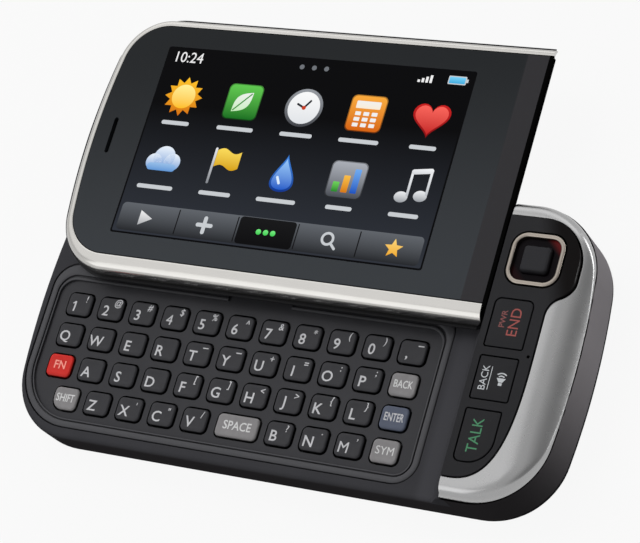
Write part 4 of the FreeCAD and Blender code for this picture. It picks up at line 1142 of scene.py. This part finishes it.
def star(x, y, r, inner_r, points):
    """Spikes: the radius goes to and fro between r and inner_r."""
    t = np.arange(2 * points) * math.pi / points + math.pi / 2
    reach = np.where(np.arange(2 * points) % 2 == 0, r, inner_r)
    return np.column_stack([x + reach * np.cos(t), y + reach * np.sin(t)])


def leaf(x, y, length, width, angle):
    """Two arcs that meet in points: half width times sin(pi t)."""
    t = np.linspace(0, 1, 16)
    side = np.column_stack([(t - 0.5) * length, width / 2 * np.sin(math.pi * t)])
    return spun(np.concatenate([side * (1, -1), side[-2:0:-1]]), angle, x, y)


def heart(x, y, size):
    """x = 16 sin^3 t, y = 13 cos t - 5 cos 2t - 2 cos 3t - cos 4t, scaled."""
    t = np.linspace(2 * math.pi, 0, 40, endpoint=False)
    up = 13 * np.cos(t) - 5 * np.cos(2 * t) - 2 * np.cos(3 * t) - np.cos(4 * t)
    return np.column_stack([16 * np.sin(t) ** 3, up]) / 17 * size + (x, y)


def drop(x, y, size):
    """A drop: sin t across, times sin(t/2) squared, and cos t up."""
    t = np.linspace(0, 2 * math.pi, 36, endpoint=False)
    return np.column_stack([-np.sin(t) * np.sin(t / 2) ** 2, np.cos(t)]) * size + (x, y)


print("the screen is", round(RIGHT_SIDE - LEFT, 1), "by", round(HEAD - FOOT, 1), "mm")

# %% Draw the menu
TOP, LOW, LABEL_DROP = 40.6, 27.2, 5.6
X = [LEFT + (RIGHT_SIDE - LEFT) * (k + 0.5) / 5 for k in range(5)]
WHITE, PALE, NIGHT, DUSK, SLATE = (240, 240, 240), (200, 204, 208), (3, 3, 5), (46, 50, 58), (40, 42, 48)
STEEL, NOTE, SKY = ((150, 154, 160), (236, 238, 240)), ((190, 194, 200), (240, 242, 244)), (96, 150, 214)
picture = []  # loop, layer, colour at the foot, colour at the top


def draw(loop, layer, low, high=None):
    picture.append((loop, layer, srgb(*low), srgb(*(high or low))))


def tiled(x, y, low, high):
    """A glossy rounded tile with a darker edge."""
    draw(tile(x, y, 3.7, 3.7, 1.1), 1, times(low, 0.5), times(high, 0.7))
    draw(tile(x, y, 3.5, 3.5, 1.0), 2, low, high)


draw(rounded(*SCREEN, 0.5), 0, NIGHT)
draw(rounded(LEFT + 0.35, RIGHT_SIDE - 0.35, FOOT + 0.35, HEAD - 12, 0.3), 0.5, DUSK, NIGHT)
draw(star(X[0], TOP, 4.1, 2.9, 12), 1, (214, 110, 10), (255, 196, 40))
draw(disc(X[0], TOP, 2.5), 2, (255, 190, 30), (255, 240, 150))
tiled(X[1], TOP, (20, 110, 30), (96, 200, 80))
draw(leaf(X[1] - 0.1, TOP, 5.6, 3.0, 48), 3, (200, 240, 190), WHITE)
draw(bar(X[1] - 0.1, TOP, 5.0, 0.28, 48), 4, (60, 150, 60))
draw(disc(X[2], TOP, 3.9), 1, (60, 62, 68), STEEL[0])
draw(disc(X[2], TOP, 3.3), 2, (225, 228, 232), (250, 250, 250))
draw(bar(X[2] + 0.55, TOP + 0.75, 2.3, 0.42, 54), 3, SLATE)
draw(bar(X[2] - 0.75, TOP + 0.35, 1.9, 0.42, 155), 3, SLATE)
draw(disc(X[2], TOP, 0.42), 4, (200, 60, 30))
tiled(X[3], TOP, (214, 98, 12), (250, 170, 60))
draw(tile(X[3], TOP + 1.75, 2.5, 0.75, 0.2), 3, (250, 236, 214), WHITE)
for k in range(9):
    draw(tile(X[3] - 1.7 + k % 3 * 1.7, TOP - 0.05 - k // 3 * 1.15, 0.58, 0.38, 0.12), 3, WHITE)
draw(heart(X[4], TOP + 0.3, 4.0), 1, (120, 8, 12), (200, 30, 30))
draw(heart(X[4], TOP + 0.3, 3.5), 2, (190, 20, 24), (250, 100, 90))
for dx, dy, r in ((-1.9, -0.5, 1.7), (0.1, 0.6, 2.3), (2.0, -0.3, 1.8)):
    draw(disc(X[0] + dx, LOW + dy, r), 1, SKY, (236, 244, 252))
draw(tile(X[0], LOW - 1.45, 3.1, 0.75, 0.7), 2, SKY, (150, 190, 232))
draw(bar(X[1] - 2.3, LOW, 7.4, 0.5, 90), 1, (130, 134, 140), (230, 232, 236))
wave = np.linspace(0, 1, 14)
hem = np.column_stack([wave * 5.2, 0.5 * np.sin(wave * 6.3)])
cloth = np.concatenate([hem, np.column_stack([hem[::-1, 0], 3.4 + hem[::-1, 1]])])
draw(cloth + (X[1] - 2.0, LOW - 0.2), 2, (214, 160, 10), (252, 220, 90))
draw(drop(X[2], LOW, 3.8), 1, (10, 50, 140), (60, 130, 220))
draw(drop(X[2], LOW - 0.15, 3.2), 2, (30, 90, 200), (150, 200, 250))
draw(bar(X[2] - 0.75, LOW - 1.5, 1.8, 0.5, 118), 3, (220, 236, 252))
tiled(X[3], LOW, (70, 74, 82), (170, 174, 182))
for dx, tall, low, high in ((0, 2.0, (30, 130, 40), (110, 210, 90)), (1, 3.4, (214, 120, 10), (250, 190, 70)),
                            (2, 4.8, (20, 80, 190), (110, 170, 240))):
    draw(tile(X[3] - 1.9 + 1.9 * dx, LOW - 2.5 + tall / 2, 0.65, tall / 2, 0.15), 3, low, high)
draw(disc(X[4] - 1.5, LOW - 2.1, 1.35, 0.8), 1, *STEEL)
draw(disc(X[4] + 2.2, LOW - 1.6, 1.35, 0.8), 1, *STEEL)
draw(bar(X[4] - 0.4, LOW + 0.6, 5.0, 0.5, 90), 2, *NOTE)
draw(bar(X[4] + 3.3, LOW + 1.1, 5.0, 0.5, 90), 2, *NOTE)
draw(bar(X[4] + 1.45, LOW + 3.2, 4.3, 1.0, 8), 3, (210, 212, 216), (244, 246, 248))
for k, half in enumerate((3.0, 3.9, 3.4, 4.1, 2.7, 3.9, 3.4, 4.1, 2.7, 3.0)):
    draw(tile(X[k % 5], (TOP, LOW)[k // 5] - LABEL_DROP, half, 0.42, 0.4), 1, PALE)
print(len(picture), "shapes in the menu so far")

# %% Status line and bottom row
DOCK_Y, STATUS_Y, BARS_X = FOOT + 3.5, HEAD - 2.0, 13.0
draw(rounded(LEFT + 1.0, RIGHT_SIDE - 1.0, FOOT + 0.7, FOOT + 6.3, 0.9), 1, (36, 38, 42), (96, 100, 106))
for k in range(1, 5):
    draw(tile(LEFT + 1.0 + (RIGHT_SIDE - LEFT - 2.0) * k / 5, DOCK_Y, 0.12, 2.5, 0.1), 2, (18, 18, 20))
draw(tile(X[2], DOCK_Y, 5.9, 2.7, 0.7), 2, (6, 6, 8), (20, 20, 22))
draw(np.array([[-1.1, -1.5], [1.7, 0], [-1.1, 1.5]]) + (X[0], DOCK_Y), 3, (170, 172, 176), WHITE)
draw(bar(X[1], DOCK_Y, 3.6, 0.8, 0), 3, PALE)
draw(bar(X[1], DOCK_Y, 3.6, 0.8, 90), 4, PALE)
for dx in (-1.5, 0, 1.5):
    draw(disc(X[2] + dx, DOCK_Y, 0.55), 3, (60, 200, 80), (120, 240, 130))
draw(disc(X[3] - 0.3, DOCK_Y + 0.3, 1.35), 3, PALE)
draw(disc(X[3] - 0.3, DOCK_Y + 0.3, 0.85), 4, (60, 62, 66))
draw(bar(X[3] + 1.1, DOCK_Y - 1.1, 1.6, 0.5, -45), 4, PALE)
draw(star(X[4], DOCK_Y, 1.9, 0.85, 5), 3, (240, 170, 40), (252, 214, 120))
for k in range(4):
    half = (0.5 + 0.35 * k) / 2
    draw(tile(BARS_X + k * 0.8, STATUS_Y - 1.0 + half, 0.25, half, 0.05), 1, WHITE)
draw(tile(20.6, STATUS_Y - 0.05, 1.8, 0.85, 0.2), 1, PALE)
draw(tile(20.6, STATUS_Y - 0.05, 1.6, 0.65, 0.1), 2, (60, 170, 220), (120, 210, 250))
draw(tile(22.6, STATUS_Y - 0.05, 0.2, 0.35, 0.08), 1, PALE)
for k in range(3):
    draw(disc(-11.5 + k * 2.6, STATUS_Y, 0.5), 1, (110, 114, 120))
print(len(picture), "shapes in the menu")

# %% Make the picture
forms, tints = [], []
for loop, layer, low, high in picture:
    forms.append(flat_form(loop, FACE_Z - 0.02, INK_TOP + layer * LAYER))
    share = (forms[-1][0][:, 1] - loop[:, 1].min()) / np.ptp(loop[:, 1])
    tints.append(low + share[:, None] * (high - low))
forms.append(raised(words("10:24", 2.2, -36.0, STATUS_Y - 0.05, squeeze=0.95), INK_TOP + LAYER))
tints.append(np.tile(srgb(*WHITE), (len(forms[-1][0]), 1)))
glowing = Finish("lit_picture", (0.0, 0.0, 0.0), 0.1, specular=0.03)
glowing.link("Emission Color", glowing.tint())
glowing.link("Roughness", 0.08 + glowing.noise(14.0, 3.0) * 0.05)
glowing.plain({"Emission Strength": 1.0})
make_piece("lit_picture", together(forms), "screen_half", "display_glass", (), np.concatenate(tints), glowing)

# %% [markdown]
# ## The camera's lens
#
# The camera looks out of a round well in the back. Its lens is a shallow dome of dark glass, a turned form: a
# profile of radius and height carried round the lens axis.

# %% Camera lens
CAMERA = (41.99, 11.0)
LENS_R = 2.0


def turned(profile, x, y, steps=48):
    """A profile of (radius, z) pairs, from the lowest point up, carried round an upright axis."""
    t = np.linspace(0, 2 * math.pi, steps, endpoint=False)
    circle = np.column_stack([np.cos(t), np.sin(t)])
    return stacked([at_height(circle * r + (x, y), z) for r, z in profile])


glass = Finish("lens_glass", (0.01, 0.008, 0.02), 0.04, specular=0.7, coat=1.0)
away = glass.along(0) - CAMERA[0]
glass.link("Base Color", glass.mix((0.004, 0.004, 0.008), (0.05, 0.02, 0.09), (away * away).step(0.1, 2.5)))
dome = [(LENS_R * math.sin(t), 0.42 - 0.22 * math.cos(t)) for t in np.linspace(0.05, math.pi / 2, 9)]
make_piece("lens_dome", turned(dome + [(1.98, 0.60)], *CAMERA), "base", "lens_black", finish=glass)

# %% [markdown]
# ## Camera, floor and light
#
# The camera looks down on the phone from its front right. A pale floor catches a soft shadow; to the eye and
# in reflections it is nearly white. Four broad lamps stand high above, to the left, in front and behind, and a
# low one shines on the right end. The world fills the rest: mirrors see it white near the horizon, a little
# greyer overhead, and darker on the right, as if a grey card stood there, which gives metal its shape.

# %% Camera
EYE = (206.6, -119.1, 382.1)
RIGHT, UP, FORWARD = (0.8793, 0.2731, -0.3903), (-0.1139, 0.9161, 0.3845), (-0.4625, 0.2936, -0.8366)
lens = bpy.data.cameras.new("eye")
lens.lens, lens.sensor_width = 137.06, 36.0
lens.clip_start, lens.clip_end = 0.01, 20.0
eye = bpy.data.objects.new("eye", lens)
scene = bpy.context.scene
scene.collection.objects.link(eye)
columns = np.column_stack([RIGHT, UP, -np.array(FORWARD), np.array(EYE) * MM])
eye.matrix_world = Matrix([*columns.tolist(), [0, 0, 0, 1]])
scene.camera = eye
print("camera", round(math.dist(EYE, (0, 0, 0))), "mm from the middle of the back")


# %% World
def staged(graph, plain, kind, share, strength=1.0):
    """The plain shader for light, blended by share to pure white where the eye, a mirror or glass looks."""
    seen = graph.add("LightPath", {}, {}, out="Is Camera Ray")
    for name in ("Is Glossy Ray", "Is Transmission Ray"):
        ray = graph.add("LightPath", {}, {}, out=name)
        seen = graph.add("Math", {"operation": "MAXIMUM"}, {0: seen, 1: ray})
    white = graph.add(kind, {}, {"Color": (1, 1, 1, 1), "Strength": strength})
    graph.show(graph.add("MixShader", {}, {0: seen * share, 1: Level(graph, plain.outputs[0]), 2: white}))


FILL = 0.3
CEILING, CARD = 0.8, 0.6  # white overhead, and how much a card to the right takes from it
scene.view_settings.view_transform = "Standard"
world = bpy.data.worlds.new("studio")
world.use_nodes = True
studio, fill = Graph(world.node_tree), world.node_tree.nodes["Background"]
fill.inputs["Color"].default_value = (1, 1, 1, 1)
fill.inputs["Strength"].default_value = FILL
way = studio.add("TexCoord", {}, {}, out="Generated")
side, height = (studio.add("SeparateXYZ", {}, {0: way}, out=axis) for axis in (0, 2))
card = 1 - side.step(0.3, 0.75) * height.step(0.12, 0.4) * CARD
staged(studio, fill, "Background", 1.0, height.step(0.05, 0.75, 1.0, CEILING) * card)
scene.world = world
print("the world lights at", FILL, "and is seen at 1 down to", CEILING)

# %% Floor
FLOOR_HALF, FLOOR_Z = 3.0, -0.0002  # metres
floor_mesh = bpy.data.meshes.new("floor")
corners = [(x * FLOOR_HALF, y * FLOOR_HALF, FLOOR_Z) for x, y in ((-1, -1), (1, -1), (1, 1), (-1, 1))]
floor_mesh.from_pydata(corners, [], [(0, 1, 2, 3)])
floor = bpy.data.objects.new("floor", floor_mesh)
scene.collection.objects.link(floor)
floor_paint = Finish("floor_paper", (0.4, 0.4, 0.4), 0.7, specular=0.0)
staged(floor_paint, floor_paint.shader, "Emission", 0.92)
floor_mesh.materials.append(floor_paint.material)
print("floor", 2 * FLOOR_HALF, "m across")


# %% Lamps
def lamp(name, at, towards, size, watts, mirrored=True):
    """A soft box at a place, facing another, both in millimetres. One that isn't mirrored only lights."""
    light = bpy.data.lights.new(name, "AREA")
    light.shape, light.size, light.size_y = "RECTANGLE", size[0] * MM, size[1] * MM
    light.energy = watts
    thing = bpy.data.objects.new(name, light)
    scene.collection.objects.link(thing)
    look = (np.array(towards) - np.array(at)).astype(float)
    turn = Vector(look).to_track_quat("-Z", "Y").to_matrix().to_4x4()
    thing.matrix_world = Matrix.Translation(np.array(at) * MM) @ turn
    thing.visible_glossy = mirrored
    thing.visible_camera = False


lamp("key_box", (-230, 240, 760), (0, 0, 10), (500, 500), 2.75, mirrored=False)
lamp("sky_box", (-365, 90, 655), (10, 0, 12), (620, 620), 0.65)
lamp("front_box", (-342, -461, 446), (10, 0, 12), (500, 560), 0.9)
lamp("back_box", (-100, 560, 408), (20, 20, 12), (900, 360), 0.85)
lamp("end_lamp", (520, 380, 60), (50, 0, 8), (500, 120), 1.2)
